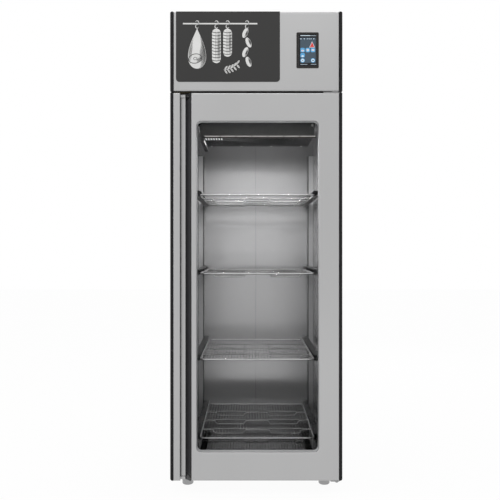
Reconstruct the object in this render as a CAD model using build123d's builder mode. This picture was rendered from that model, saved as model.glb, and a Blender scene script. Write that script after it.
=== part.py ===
from build123d import *
import os

# Upright glass-door curing cabinet.
# Millimetres; X to the right, Y to the back, Z up; the origin is on the floor under the middle.

os.makedirs("parts", exist_ok=True)

# Overall size
cabinet_width = 750
cabinet_depth = 850
cabinet_height = 2105
foot_height = 59
header_height = 346.5

# Insulated body
skin_thickness = 1
liner_thickness = 1
wall_thickness = 60
floor_thickness = 62
front_return = 20
breaker_thickness = 6
cavity_offset = 5
seam_gap = 1

# Door
door_thickness = 62
door_skin_thickness = 1.2
door_floor_gap = 1
seal_gap = 11
hinge_gap = 7.5
edge_radius = 4
strip_width = 12
strip_corner_radius = 10
strip_edge = 2

# Window in the door
window_left_margin = 117
window_right_margin = 105
window_bottom_margin = 125
window_top_margin = 122
window_radius = 20
reveal_depth = 38
reveal_thickness = 1.2
pane_thickness = 4
pane_gap = 12
pane_overlap = 24
spacer_overlap = 16
spacer_width = 6
inner_opening_overlap = 14

# Handle let into the door's left edge
grip_width = 34
grip_lip_depth = 12
channel_depth = 27
channel_floor_width = 17.5
slant_width = 26.5
slant_thickness = 2
slot_width = 6
slot_end = 9
slot_gap = 3
grip_corner = 5

# Door seal
gasket_width = 14
gasket_neck = 8
gasket_foot_height = 3
gasket_head_height = 4
gasket_clearance = 0.4
gasket_inset = 35

# Hinges
hinge_inset = 21
hinge_y_depth = 30
hinge_pin_radius = 5
hinge_pin_clearance = 0.05
hinge_pin_reach = 26
hinge_plate_thickness = 4.5
top_plate_inset = 83
top_pad_inset = 48
bottom_plate_inset = 52
hinge_plate_inset = 10.5
hinge_plate_front = 7
hinge_plate_gap = 1
hinge_corner = 8
bottom_plate_back = 34
pin_head_radius = 6.3
nut_sides = 6
pin_head_height = 10.5
bush_radius = 7.4
bush_sides = 8
bush_length = 30

# Header
overlay_thickness = 1.5
overlay_inset = 25
overlay_gap = 72
overlay_lift = 40
overlay_radius = 15
bezel_inset = 103
bezel_width = 97
bezel_lift = 99.5
bezel_height = 156
bezel_thickness = 1.5
bezel_radius = 5
bezel_rim = 9
screen_recess = 0.5
screen_gap = 0.3
module_depth = 28
module_inset = 3
header_corner_radius = 8

# Wire shelves
shelf_side_gap = 50
shelf_front_gap = 58
shelf_rear_gap = 3
lowest_shelf_lift = 85
rack_pitch = 32.7
shelf_height_shares = (0, 0.262, 0.548, 0.81)
rim_radius = 4
rim_corner = 14
thin_wire_radius = 1.5
thin_wire_count = 36
cross_wire_radius = 2.5
well_drop = 16
well_shares = ((-0.804, -0.192), (0.215, 0.823))
well_ramp = 16
cross_wire_end = 150
cross_wire_spacing = 22
wire_sides = 4
rim_sides = 6

# Racks that carry the shelves
rack_reach = 26.5
upright_width = 30
upright_sheet = 1.5
front_upright_gap = 88
rear_upright_gap = 5
rack_bottom_gap = 20
rack_head_gap = 5
rack_slot_width = 14
rack_slot_height = 8
spare_slots = 1
slide_sheet = 1.2
slide_reach = 29
slide_height = 25
slide_front_gap = 1
slide_end_gap = 8
hook_width = 10
hook_height = 6
hook_depth = 5
rim_rest = 0.3

# Evaporator under the cavity's ceiling
housing_sheet = 1.5
housing_side_gap = 46
housing_front_gap = 71
housing_depth = 300
housing_height = 108.5
rail_width = 26
rail_drop = 26
louvre_count = 7
louvre_pitch = 12.3
louvre_width = 6.5
louvre_length = 60
louvre_inset = 55
louvre_gap = 1
fan_opening_radius = 46
fan_spread = 120
fan_radius = 43
fan_hub_radius = 15
fan_hub_length = 18
fan_gap = 4
fan_blade_sheet = 1.5
fan_blades = 5
blade_angle = 28
hub_sides = 12
blade_sweep_angle = 44
blade_root_share = 0.8
tip_share = 0.4
trailing_share = 0.92
fan_bracket_width = 16
fan_motor_radius = 20
fan_motor_length = 32
fan_shaft_radius = 3
fan_shaft_clearance = 0.05
coil_side_gap = 69
coil_motor_gap = 25.5
coil_depth = 80
coil_height = 76
coil_ceiling_gap = 12
coil_outlet_share = 0.25
fin_pitch = 24.5
fin_gap = 19
fin_depth = 26
led_depth = 12
led_height = 9
led_count = 7
led_gap = 3
lens_thickness = 2
knob_radius = 6
knob_length = 12
knob_edge = 2
knob_sides = 12
knob_lift = 51
knob_inset = 8

# Machine compartment over the ceiling
cover_slot_count = 12
cover_slot_width = 8
cover_slot_length = 130
cover_slot_pitch = 24
cover_slots_rear_gap = 175
grille_slot_rows = 8
grille_slot_length = 240
grille_slot_height = 10
grille_slot_pitch = 30
grille_columns_pitch = 340
compressor_side_gap = 175
compressor_rear_gap = 275
compressor_radius = 78
compressor_height = 176
compressor_dome = 30
shell_sides = 20
compressor_foot = 210
compressor_foot_sheet = 3
pad_width = 28
pad_height = 16
condenser_side_gap = 55
condenser_rear_gap = 95
condenser_width = 340
condenser_thickness = 50
condenser_height = 270
condenser_lift = 8
shroud_depth = 46
shroud_sheet = 1.5
condenser_fan_radius = 118
condenser_fan_gap = 5
condenser_ring = 12
ring_sides = 24
condenser_hub_radius = 30
condenser_hub_length = 26
condenser_motor_radius = 38
condenser_motor_length = 60
condenser_shaft_radius = 4
strut_width = 14
control_box_side_gap = 45
control_box_front_gap = 52
control_box_width = 210
control_box_depth = 110
control_box_height = 150
control_box_gap = 6
lid_overhang = 2
pipe_sides = 6
pipe_radius = 5
suction_pipe_radius = 7
pipe_bend = 30
pipe_rise = 60
pipe_clear = 30
pipe_entry = 35
sleeve_clearance = 3

# Feet
foot_radius = 25.5
foot_sides = 24
foot_side_inset = 64
foot_inset = 65
foot_edge_radius = 8
foot_top_gap = 0.3
spindle_radius = 8
spindle_sides = 12
spindle_length = 44
spindle_clearance = 0.05
spindle_hole_gap = 4
socket_radius = 14
socket_height = 40
socket_headroom = 10

# One overrun serves every cut
overrun = 5

# Places worked out from the sizes above
half_width = cabinet_width / 2
front_y = -cabinet_depth / 2
rear_y = cabinet_depth / 2
body_front = front_y + door_thickness + seal_gap
header_bottom = cabinet_height - header_height
door_bottom = foot_height + door_floor_gap
door_top = header_bottom - hinge_gap
door_back = front_y + door_thickness
hinge_x = half_width - hinge_inset
hinge_y = front_y + hinge_y_depth
window_left = -half_width + window_left_margin
window_right = half_width - window_right_margin
window_bottom = door_bottom + window_bottom_margin
window_top = door_top - window_top_margin
grip_left = -half_width + strip_width
grip_right = grip_left + grip_width
channel_floor_end = grip_right + channel_floor_width
handle_edge = channel_floor_end + slant_width
cavity_left = -half_width + wall_thickness + cavity_offset
cavity_right = half_width - wall_thickness + cavity_offset
cavity_middle = (cavity_left + cavity_right) / 2
cavity_floor = foot_height + floor_thickness
cavity_ceiling = header_bottom - wall_thickness
cavity_rear = rear_y - wall_thickness
liner_front = body_front + breaker_thickness
skin_inside = half_width - skin_thickness
housing_left = cavity_left + housing_side_gap
housing_right = cavity_right - housing_side_gap
housing_front = liner_front + housing_front_gap
housing_rear = housing_front + housing_depth
housing_bottom = cavity_ceiling - housing_height
rail_end = housing_left + rail_width
coil_left = housing_left + coil_side_gap
coil_right = housing_right - coil_side_gap
rotor_y = housing_rear - housing_sheet - fan_gap - fan_hub_length / 2
motor_rear = rotor_y - fan_hub_length / 2 - fan_gap
coil_rear = motor_rear - fan_motor_length - coil_motor_gap
coil_front = coil_rear - coil_depth
shelf_width = cavity_right - cavity_left - 2 * shelf_side_gap
shelf_front = liner_front + shelf_front_gap
shelf_rear = cavity_rear - shelf_rear_gap
shelf_depth = shelf_rear - shelf_front
lowest_shelf = cavity_floor + lowest_shelf_lift
rack_top = housing_bottom - rack_head_gap
rack_steps = (rack_top - lowest_shelf) // rack_pitch
shelf_steps = [round(rack_steps * share) for share in shelf_height_shares]
shelf_levels = [lowest_shelf + rack_pitch * step for step in shelf_steps]
bezel_right = half_width - bezel_inset
bezel_left = bezel_right - bezel_width
bezel_bottom = header_bottom + bezel_lift
bezel_top = bezel_bottom + bezel_height
overlay_left = -half_width + overlay_inset
overlay_right = bezel_left - overlay_gap
overlay_bottom = header_bottom + overlay_lift
compressor_x = half_width - compressor_side_gap
compressor_y = rear_y - compressor_rear_gap
condenser_left = -half_width + condenser_side_gap
condenser_right = condenser_left + condenser_width
condenser_y = rear_y - condenser_rear_gap
control_box_right = half_width - control_box_side_gap
control_box_left = control_box_right - control_box_width
control_box_front = body_front + control_box_front_gap
foot_x = half_width - foot_side_inset


def block(low, high, mode=Mode.ADD):
    """Add a block that runs from one corner to the opposite one."""
    middle = [(a + b) / 2 for a, b in zip(low, high)]
    with Locations(tuple(middle)):
        Box(*[b - a for a, b in zip(low, high)], mode=mode)


def upright_plane(y):
    """A plane that faces the front, with X to the right and Z up, at the given depth."""
    return Plane.XZ.offset(-y)


def outline(left, right, bottom, top, radius=0, mode=Mode.ADD):
    """Draw a rectangle, with rounded corners where a radius is given."""
    with Locations(((left + right) / 2, (bottom + top) / 2)):
        if radius:
            RectangleRounded(right - left, top - bottom, radius, mode=mode)
        else:
            Rectangle(right - left, top - bottom, mode=mode)


def window_outline(grow, mode=Mode.ADD):
    """Draw the window's outline, grown by the same margin all round."""
    radius = window_radius + grow
    outline(window_left - grow, window_right + grow, window_bottom - grow, window_top + grow, radius, mode)


# Outer skin of the body

for side, name in ((-1, "left_side_panel"), (1, "right_side_panel")):
    with BuildPart() as side_panel:
        with BuildSketch(Plane.XY.offset(foot_height)):
            with BuildLine():
                Polyline(
                    (side * half_width, body_front),
                    (side * (half_width - front_return), body_front),
                    (side * (half_width - front_return), body_front + skin_thickness),
                    (side * skin_inside, body_front + skin_thickness),
                    (side * skin_inside, rear_y),
                    (side * half_width, rear_y),
                    close=True,
                )
            make_face()
        extrude(amount=cabinet_height - foot_height)
    side_panel.part.label = name
    export_step(side_panel.part, f"parts/{name}.step")

with BuildPart() as rear_panel:
    block(
        (-skin_inside, rear_y - skin_thickness, foot_height),
        (skin_inside, rear_y, header_bottom),
    )
rear_panel.part.label = "rear_panel"
export_step(rear_panel.part, "parts/rear_panel.step")

foot_places = [
    (side * foot_x, y)
    for side in (-1, 1)
    for y in (body_front + foot_inset, rear_y - foot_inset)
]

with BuildPart() as base_panel:
    block(
        (-skin_inside, body_front + skin_thickness, foot_height),
        (skin_inside, rear_y - skin_thickness, foot_height + skin_thickness),
    )
    with BuildSketch(Plane.XY.offset(foot_height)):
        with Locations(*foot_places):
            RegularPolygon(spindle_radius + spindle_hole_gap, nut_sides)
    extrude(amount=skin_thickness, mode=Mode.SUBTRACT)
base_panel.part.label = "base_panel"
export_step(base_panel.part, "parts/base_panel.step")

# The suction pipe runs down through the roof to the evaporator
pipe_drop_x = coil_right + pipe_bend
pipe_drop_y = coil_front + coil_depth * coil_outlet_share
sleeve_radius = suction_pipe_radius + sleeve_clearance

with BuildPart() as machine_deck:
    block(
        (-skin_inside, body_front + skin_thickness, header_bottom - skin_thickness),
        (skin_inside, rear_y - skin_thickness, header_bottom),
    )
    with BuildSketch(Plane.XY.offset(header_bottom)):
        with Locations((pipe_drop_x, pipe_drop_y)):
            Circle(sleeve_radius)
    extrude(amount=-skin_thickness, mode=Mode.SUBTRACT)
machine_deck.part.label = "machine_deck"
export_step(machine_deck.part, "parts/machine_deck.step")

# Foam between skin and liner, with pockets for the foot sockets and the pipe
foam_bottom = foot_height + skin_thickness
foam_top = header_bottom - skin_thickness

with BuildPart() as insulation:
    block(
        (-skin_inside, liner_front, foam_bottom),
        (skin_inside, rear_y - skin_thickness, foam_top),
    )
    block(
        (cavity_left - liner_thickness, liner_front - overrun, cavity_floor - liner_thickness),
        (cavity_right + liner_thickness, cavity_rear + liner_thickness, cavity_ceiling + liner_thickness),
        mode=Mode.SUBTRACT,
    )
    with BuildSketch(Plane.XY.offset(foam_bottom)):
        with Locations(*foot_places):
            RegularPolygon(socket_radius, nut_sides)
    extrude(amount=socket_height + socket_headroom, mode=Mode.SUBTRACT)
    with BuildSketch(Plane.XY.offset(foam_top)):
        with Locations((pipe_drop_x, pipe_drop_y)):
            RegularPolygon(sleeve_radius, nut_sides)
    extrude(amount=-wall_thickness, mode=Mode.SUBTRACT)
insulation.part.label = "insulation"
export_step(insulation.part, "parts/insulation.step")

# Inner liner
for name, inner, outer in (
    ("left_liner", cavity_left, cavity_left - liner_thickness),
    ("right_liner", cavity_right, cavity_right + liner_thickness),
):
    with BuildPart() as side_liner:
        block(
            (min(inner, outer), liner_front, cavity_floor - liner_thickness),
            (max(inner, outer), cavity_rear + liner_thickness, cavity_ceiling + liner_thickness),
        )
    side_liner.part.label = name
    export_step(side_liner.part, f"parts/{name}.step")

with BuildPart() as rear_liner:
    for left, right in (
        (cavity_left, cavity_middle - seam_gap / 2),
        (cavity_middle + seam_gap / 2, cavity_right),
    ):
        block((left, cavity_rear, cavity_floor), (right, cavity_rear + liner_thickness, cavity_ceiling))
rear_liner.part.label = "rear_liner"
export_step(rear_liner.part, "parts/rear_liner.step")

with BuildPart() as ceiling_liner:
    block(
        (cavity_left, liner_front, cavity_ceiling),
        (cavity_right, cavity_rear + liner_thickness, cavity_ceiling + liner_thickness),
    )
    with BuildSketch(Plane.XY.offset(cavity_ceiling)):
        with Locations((pipe_drop_x, pipe_drop_y)):
            Circle(sleeve_radius)
    extrude(amount=liner_thickness, mode=Mode.SUBTRACT)
ceiling_liner.part.label = "ceiling_liner"
export_step(ceiling_liner.part, "parts/ceiling_liner.step")

with BuildPart() as floor_liner:
    block(
        (cavity_left, liner_front, cavity_floor - liner_thickness),
        (cavity_right, cavity_rear + liner_thickness, cavity_floor),
    )
floor_liner.part.label = "floor_liner"
export_step(floor_liner.part, "parts/floor_liner.step")

# Plastic frame round the mouth of the cavity, where the door seals
breaker_side = half_width - front_return
with BuildPart() as breaker_frame:
    with BuildSketch(upright_plane(liner_front)):
        outline(-breaker_side, breaker_side, foam_bottom, foam_top)
        outline(cavity_left, cavity_right, cavity_floor, cavity_ceiling, mode=Mode.SUBTRACT)
    extrude(amount=breaker_thickness)
breaker_frame.part.label = "breaker_frame"
export_step(breaker_frame.part, "parts/breaker_frame.step")

# Header: a folded steel tray with dark end strips, a printed overlay and the controller
header_front = front_y + overlay_thickness
header_side = half_width - strip_width

with BuildPart() as header_panel:
    block((-header_side, header_front, header_bottom), (header_side, body_front, cabinet_height))
    front_face = header_panel.faces().sort_by(Axis.Y)[0]
    fillet(front_face.edges().sort_by(Axis.Z)[:-1], radius=edge_radius)
    offset(amount=-door_skin_thickness, openings=header_panel.faces().sort_by(Axis.Y)[-1])
    with BuildSketch(upright_plane(header_front)):
        outline(
            bezel_left + bezel_rim,
            bezel_right - bezel_rim,
            bezel_bottom + bezel_rim,
            bezel_top - bezel_rim,
        )
    extrude(amount=-door_skin_thickness, mode=Mode.SUBTRACT)
header_panel.part.label = "header_panel"
export_step(header_panel.part, "parts/header_panel.step")

with BuildPart() as header_side_strips:
    with BuildSketch(upright_plane(body_front)) as strip_outline:
        outline(-half_width, -header_side, header_bottom, cabinet_height)
        outline(header_side, half_width, header_bottom, cabinet_height)
        top_corners = strip_outline.vertices().group_by(Axis.Y)[-1].sort_by(Axis.X)
        fillet([top_corners[0], top_corners[-1]], radius=header_corner_radius)
    extrude(amount=body_front - front_y)
header_side_strips.part.label = "header_side_strips"
export_step(header_side_strips.part, "parts/header_side_strips.step")

with BuildPart() as graphic_panel:
    with BuildSketch(upright_plane(header_front)) as overlay_outline:
        outline(overlay_left, overlay_right, overlay_bottom, cabinet_height)
        fillet(overlay_outline.vertices().group_by(Axis.Y)[0], radius=overlay_radius)
    extrude(amount=overlay_thickness)
graphic_panel.part.label = "graphic_panel"
export_step(graphic_panel.part, "parts/graphic_panel.step")

with BuildPart() as controller_bezel:
    with BuildSketch(upright_plane(header_front)):
        outline(bezel_left, bezel_right, bezel_bottom, bezel_top, bezel_radius)
        outline(
            bezel_left + bezel_rim,
            bezel_right - bezel_rim,
            bezel_bottom + bezel_rim,
            bezel_top - bezel_rim,
            mode=Mode.SUBTRACT,
        )
    extrude(amount=bezel_thickness)
controller_bezel.part.label = "controller_bezel"
export_step(controller_bezel.part, "parts/controller_bezel.step")

screen_inset = bezel_rim + screen_gap
with BuildPart() as controller_screen:
    block(
        (bezel_left + screen_inset, front_y + screen_recess, bezel_bottom + screen_inset),
        (bezel_right - screen_inset, header_front + door_skin_thickness, bezel_top - screen_inset),
    )
    block(
        (
            bezel_left + screen_inset + module_inset,
            header_front + door_skin_thickness,
            bezel_bottom + screen_inset + module_inset,
        ),
        (
            bezel_right - screen_inset - module_inset,
            header_front + module_depth,
            bezel_top - screen_inset - module_inset,
        ),
    )
controller_screen.part.label = "controller_screen"
export_step(controller_screen.part, "parts/controller_screen.step")

# Door: front tray with the window, reveal sleeve, double glazing, back pan and seal
tray_right = half_width - strip_width

with BuildPart() as door_skin:
    block((handle_edge, front_y, door_bottom), (tray_right, door_back - door_skin_thickness, door_top))
    fillet(door_skin.faces().sort_by(Axis.Y)[0].edges(), radius=edge_radius)
    offset(amount=-door_skin_thickness, openings=door_skin.faces().sort_by(Axis.Y)[-1])
    with BuildSketch(upright_plane(front_y)):
        window_outline(0)
    extrude(amount=-door_skin_thickness, mode=Mode.SUBTRACT)
    with BuildSketch(Plane.XY.offset(door_bottom)):
        with Locations((hinge_x, hinge_y)):
            RegularPolygon(bush_radius, bush_sides)
    extrude(amount=door_top - door_bottom, mode=Mode.SUBTRACT)
door_skin.part.label = "door_skin"
export_step(door_skin.part, "parts/door_skin.step")

reveal_front = front_y + door_skin_thickness
ledge_front = front_y + reveal_depth - reveal_thickness
glass_front = front_y + reveal_depth

with BuildPart() as window_reveal:
    with BuildSketch(upright_plane(ledge_front)):
        window_outline(reveal_thickness)
        window_outline(0, mode=Mode.SUBTRACT)
    extrude(amount=ledge_front - reveal_front)
    with BuildSketch(upright_plane(glass_front)):
        window_outline(pane_overlap)
        window_outline(0, mode=Mode.SUBTRACT)
    extrude(amount=reveal_thickness)
window_reveal.part.label = "window_reveal"
export_step(window_reveal.part, "parts/window_reveal.step")

inner_pane_front = glass_front + pane_thickness + pane_gap
for name, pane_front in (("outer_glass", glass_front), ("inner_glass", inner_pane_front)):
    with BuildPart() as pane:
        with BuildSketch(upright_plane(pane_front + pane_thickness)):
            window_outline(pane_overlap)
        extrude(amount=pane_thickness)
    pane.part.label = name
    export_step(pane.part, f"parts/{name}.step")

with BuildPart() as glass_spacer:
    with BuildSketch(upright_plane(inner_pane_front)):
        window_outline(spacer_overlap + spacer_width)
        window_outline(spacer_overlap, mode=Mode.SUBTRACT)
    extrude(amount=pane_gap)
glass_spacer.part.label = "glass_spacer"
export_step(glass_spacer.part, "parts/glass_spacer.step")

pane_back = inner_pane_front + pane_thickness
pan_front = door_back - door_skin_thickness
pan_side = half_width - strip_width

with BuildPart() as door_inner_panel:
    with BuildSketch(upright_plane(door_back)):
        outline(-pan_side, pan_side, door_bottom, door_top)
        window_outline(inner_opening_overlap, mode=Mode.SUBTRACT)
    extrude(amount=door_skin_thickness)
    with BuildSketch(upright_plane(pan_front)):
        window_outline(inner_opening_overlap + door_skin_thickness)
        window_outline(inner_opening_overlap, mode=Mode.SUBTRACT)
    extrude(amount=pan_front - pane_back)
door_inner_panel.part.label = "door_inner_panel"
export_step(door_inner_panel.part, "parts/door_inner_panel.step")

# Handle: a folded grip with an undercut for the fingers, and a dark slanted profile
channel_front = front_y + channel_depth
channel_back = channel_front + door_skin_thickness

with BuildPart() as door_grip:
    with BuildSketch(Plane.XY.offset(door_bottom)):
        with BuildLine():
            Polyline(
                (grip_left, front_y),
                (grip_right, front_y),
                (grip_right, front_y + grip_lip_depth),
                (grip_right - door_skin_thickness, front_y + grip_lip_depth),
                (grip_right - door_skin_thickness, front_y + door_skin_thickness),
                (grip_left + door_skin_thickness, front_y + door_skin_thickness),
                (grip_left + door_skin_thickness, channel_front),
                (channel_floor_end, channel_front),
                (channel_floor_end, channel_back),
                (grip_left, channel_back),
                close=True,
            )
        make_face()
    extrude(amount=door_top - door_bottom)
    block(
        (grip_right - slot_gap, channel_front, door_bottom + slot_end),
        (grip_right - slot_gap + slot_width, channel_back, door_top - slot_end),
        mode=Mode.SUBTRACT,
    )
    with BuildSketch(upright_plane(front_y)):
        with BuildLine():
            Polyline(
                (grip_right, door_bottom),
                (grip_right, door_bottom + grip_corner),
                (grip_right - grip_corner, door_bottom),
                close=True,
            )
        make_face()
    extrude(amount=-grip_lip_depth, mode=Mode.SUBTRACT)
door_grip.part.label = "door_grip"
export_step(door_grip.part, "parts/door_grip.step")

slant_run = slant_thickness * 2**0.5

with BuildPart() as handle_insert:
    with BuildSketch(Plane.XY.offset(door_bottom)):
        with BuildLine():
            Polyline(
                (handle_edge, front_y),
                (channel_floor_end, channel_front),
                (channel_floor_end, channel_back),
                (grip_left, channel_back),
                (grip_left, channel_back + slant_thickness),
                (channel_floor_end + slant_run, channel_back + slant_thickness),
                (handle_edge, front_y + slant_run),
                close=True,
            )
        make_face()
    extrude(amount=door_top - door_bottom)
handle_insert.part.label = "handle_insert"
export_step(handle_insert.part, "parts/handle_insert.step")

with BuildPart() as door_side_strips:
    with BuildSketch(upright_plane(door_back)) as strip_outline:
        outline(-half_width, -pan_side, door_bottom, door_top)
        outline(pan_side, half_width, door_bottom, door_top)
        low_corners = strip_outline.vertices().group_by(Axis.Y)[0].sort_by(Axis.X)
        fillet([low_corners[0], low_corners[-1]], radius=strip_corner_radius)
    extrude(amount=door_thickness)
    front_edges = door_side_strips.edges().filter_by(Axis.Z).group_by(Axis.Y)[0].sort_by(Axis.X)
    chamfer([front_edges[0], front_edges[-1]], length=strip_edge)
door_side_strips.part.label = "door_side_strips"
export_step(door_side_strips.part, "parts/door_side_strips.step")

# Hinges on the right: fixed plates with pins, and bushes in the door's corners
bush_bore = hinge_pin_radius + hinge_pin_clearance

with BuildPart() as hinge_bushes:
    for low in (door_bottom, door_top - bush_length):
        with BuildSketch(Plane.XY.offset(low)):
            with Locations((hinge_x, hinge_y)):
                RegularPolygon(bush_radius, bush_sides)
                Circle(bush_bore, mode=Mode.SUBTRACT)
        extrude(amount=bush_length)
hinge_bushes.part.label = "hinge_bushes"
export_step(hinge_bushes.part, "parts/hinge_bushes.step")

with BuildPart() as door_foam:
    block(
        (handle_edge + door_skin_thickness, reveal_front, door_bottom + door_skin_thickness),
        (tray_right - door_skin_thickness, pan_front, door_top - door_skin_thickness),
    )
    chamfer(door_foam.faces().sort_by(Axis.Y)[0].edges(), length=edge_radius - door_skin_thickness)
    with BuildSketch(upright_plane(pan_front)):
        window_outline(pane_overlap)
    extrude(amount=door_thickness, mode=Mode.SUBTRACT)
    with BuildSketch(Plane.XY.offset(door_bottom)):
        with Locations((hinge_x, hinge_y)):
            RegularPolygon(bush_radius, bush_sides)
    extrude(amount=door_top - door_bottom, mode=Mode.SUBTRACT)
    block(
        (grip_left, channel_back + slant_thickness, door_bottom),
        (handle_edge, pan_front, door_top),
    )
door_foam.part.label = "door_foam"
export_step(door_foam.part, "parts/door_foam.step")

gasket_left = cavity_left - gasket_width - gasket_width
gasket_right = cavity_right + gasket_width + gasket_width
gasket_bottom = cavity_floor - gasket_inset + gasket_width
gasket_top = cavity_ceiling + gasket_inset - gasket_width
gasket_height = seal_gap - gasket_clearance


def gasket_ring(front, back, width):
    """Add one layer of the seal, a ring of the given width centred on the seal's path."""
    spare = (gasket_width - width) / 2
    with BuildSketch(upright_plane(back)) as ring:
        outline(
            gasket_left + spare,
            gasket_right - spare,
            gasket_bottom + spare,
            gasket_top - spare,
        )
        outline(
            gasket_left + gasket_width - spare,
            gasket_right - gasket_width + spare,
            gasket_bottom + gasket_width - spare,
            gasket_top - gasket_width + spare,
            mode=Mode.SUBTRACT,
        )
    extrude(ring.sketch, amount=back - front)


with BuildPart() as door_gasket:
    gasket_ring(door_back, door_back + gasket_foot_height, gasket_width)
    neck_end = door_back + gasket_height - gasket_head_height
    gasket_ring(door_back + gasket_foot_height, neck_end, gasket_neck)
    gasket_ring(neck_end, door_back + gasket_height, gasket_width)
door_gasket.part.label = "door_gasket"
export_step(door_gasket.part, "parts/door_gasket.step")

plate_front = front_y + hinge_plate_front
plate_right = half_width - hinge_plate_inset
top_plate_low = door_top + hinge_plate_gap

with BuildPart() as top_hinge:
    with BuildSketch(Plane.XY.offset(top_plate_low)) as plate_outline:
        outline(half_width - top_plate_inset, plate_right, plate_front, body_front)
        fillet(plate_outline.vertices().group_by(Axis.Y)[0], radius=hinge_corner)
    extrude(amount=hinge_plate_thickness)
    with BuildSketch(Plane.XY.offset(top_plate_low + hinge_plate_thickness)) as pad_outline:
        outline(half_width - top_pad_inset, plate_right, plate_front, body_front)
        fillet(pad_outline.vertices().group_by(Axis.Y)[0], radius=hinge_corner)
    extrude(amount=header_bottom - top_plate_low - hinge_plate_thickness)
    with BuildSketch(Plane.XY.offset(top_plate_low)):
        with Locations((hinge_x, hinge_y)):
            Circle(hinge_pin_radius)
    extrude(amount=-hinge_pin_reach)
top_hinge.part.label = "top_hinge"
export_step(top_hinge.part, "parts/top_hinge.step")

bottom_plate_low = foot_height - hinge_plate_thickness
with BuildPart() as bottom_hinge:
    with BuildSketch(Plane.XY.offset(bottom_plate_low)) as plate_outline:
        outline(half_width - bottom_plate_inset, plate_right, plate_front, body_front + bottom_plate_back)
        fillet(plate_outline.vertices().group_by(Axis.Y)[0], radius=hinge_corner)
    extrude(amount=hinge_plate_thickness)
    with BuildSketch(Plane.XY.offset(foot_height)):
        with Locations((hinge_x, hinge_y)):
            Circle(hinge_pin_radius)
    extrude(amount=hinge_pin_reach)
    with BuildSketch(Plane.XY.offset(bottom_plate_low)):
        with Locations((hinge_x, hinge_y)):
            RegularPolygon(pin_head_radius, nut_sides)
    extrude(amount=-pin_head_height)
bottom_hinge.part.label = "bottom_hinge"
export_step(bottom_hinge.part, "parts/bottom_hinge.step")

# Racks: slotted uprights fixed to the side liners, and a channel slide each side of a shelf
front_upright = shelf_front + front_upright_gap
rear_upright = cavity_rear - rear_upright_gap - upright_width
rack_bottom = cavity_floor + rack_bottom_gap
hook_level = slide_height / 2 - rim_radius - rim_rest - slide_sheet
slot_levels = [
    lowest_shelf + hook_level + rack_pitch * (step + near)
    for step in shelf_steps
    for near in range(spare_slots + 1)
]

with BuildPart() as rack_uprights:
    for side, wall in ((1, cavity_left), (-1, cavity_right)):
        face = wall + side * rack_reach
        for near in (front_upright, rear_upright):
            far = near + upright_width
            with BuildSketch(Plane.XY.offset(rack_bottom)):
                with BuildLine():
                    Polyline(
                        (wall, near),
                        (face, near),
                        (face, far),
                        (wall, far),
                        (wall, far - upright_sheet),
                        (face - side * upright_sheet, far - upright_sheet),
                        (face - side * upright_sheet, near + upright_sheet),
                        (wall, near + upright_sheet),
                        close=True,
                    )
                make_face()
            extrude(amount=rack_top - rack_bottom)
            with BuildSketch(Plane.YZ.offset(face - side * upright_sheet)):
                with Locations(*[((near + far) / 2, z) for z in slot_levels]):
                    Rectangle(rack_slot_width, rack_slot_height)
            extrude(amount=side * upright_sheet, mode=Mode.SUBTRACT)
rack_uprights.part.label = "rack_uprights"
export_step(rack_uprights.part, "parts/rack_uprights.step")

slide_front = shelf_front + slide_front_gap
slide_rear = cavity_rear - slide_end_gap
upright_middles = (front_upright + upright_width / 2, rear_upright + upright_width / 2)

with BuildPart() as shelf_slides:
    for side, wall in ((1, cavity_left), (-1, cavity_right)):
        back = wall + side * rack_reach
        edge = back + side * slide_reach
        hook_end = back - side * hook_depth
        for level in shelf_levels:
            low = level - rim_radius - rim_rest - slide_sheet
            high = low + slide_height
            hook = (low + high) / 2
            with BuildSketch(upright_plane(slide_rear)):
                with BuildLine():
                    Polyline(
                        (back, low),
                        (edge, low),
                        (edge, low + slide_sheet),
                        (back + side * slide_sheet, low + slide_sheet),
                        (back + side * slide_sheet, high - slide_sheet),
                        (edge, high - slide_sheet),
                        (edge, high),
                        (back, high),
                        close=True,
                    )
                make_face()
            extrude(amount=slide_rear - slide_front)
            for middle in upright_middles:
                block(
                    (min(back, hook_end), middle - hook_width / 2, hook - hook_height / 2),
                    (max(back, hook_end), middle + hook_width / 2, hook + hook_height / 2),
                )
shelf_slides.part.label = "shelf_slides"
export_step(shelf_slides.part, "parts/shelf_slides.step")

# Wire shelves
hexagon_slope = 1 / 3**0.5
rim_reach = 2 * rim_radius * hexagon_slope
rim_x = shelf_width / 2 - rim_reach
middle_row = (shelf_depth - cross_wire_spacing) / 2
last_row = shelf_depth - cross_wire_end - cross_wire_spacing
cross_wire_rows = (cross_wire_end, middle_row, last_row)
wells = [[shelf_width / 2 * share for share in pair] for pair in well_shares]
rim_front = shelf_front + rim_reach
rim_rear = shelf_rear - rim_reach
corner_step = rim_corner * (1 - 0.5**0.5)


def bent_wire(points, radius, sides):
    """Sweep a wire or pipe with flat sides along straight runs with mitred bends."""
    with BuildLine() as route:
        Polyline(*points)
    start = Plane(origin=route.line @ 0, x_dir=(0, 1, 0), z_dir=route.line % 0)
    with BuildSketch(start) as section:
        RegularPolygon(radius, sides, major_radius=False, rotation=180 / sides)
    sweep(section.sketch, path=route.wires()[0], transition=Transition.RIGHT)


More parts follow.
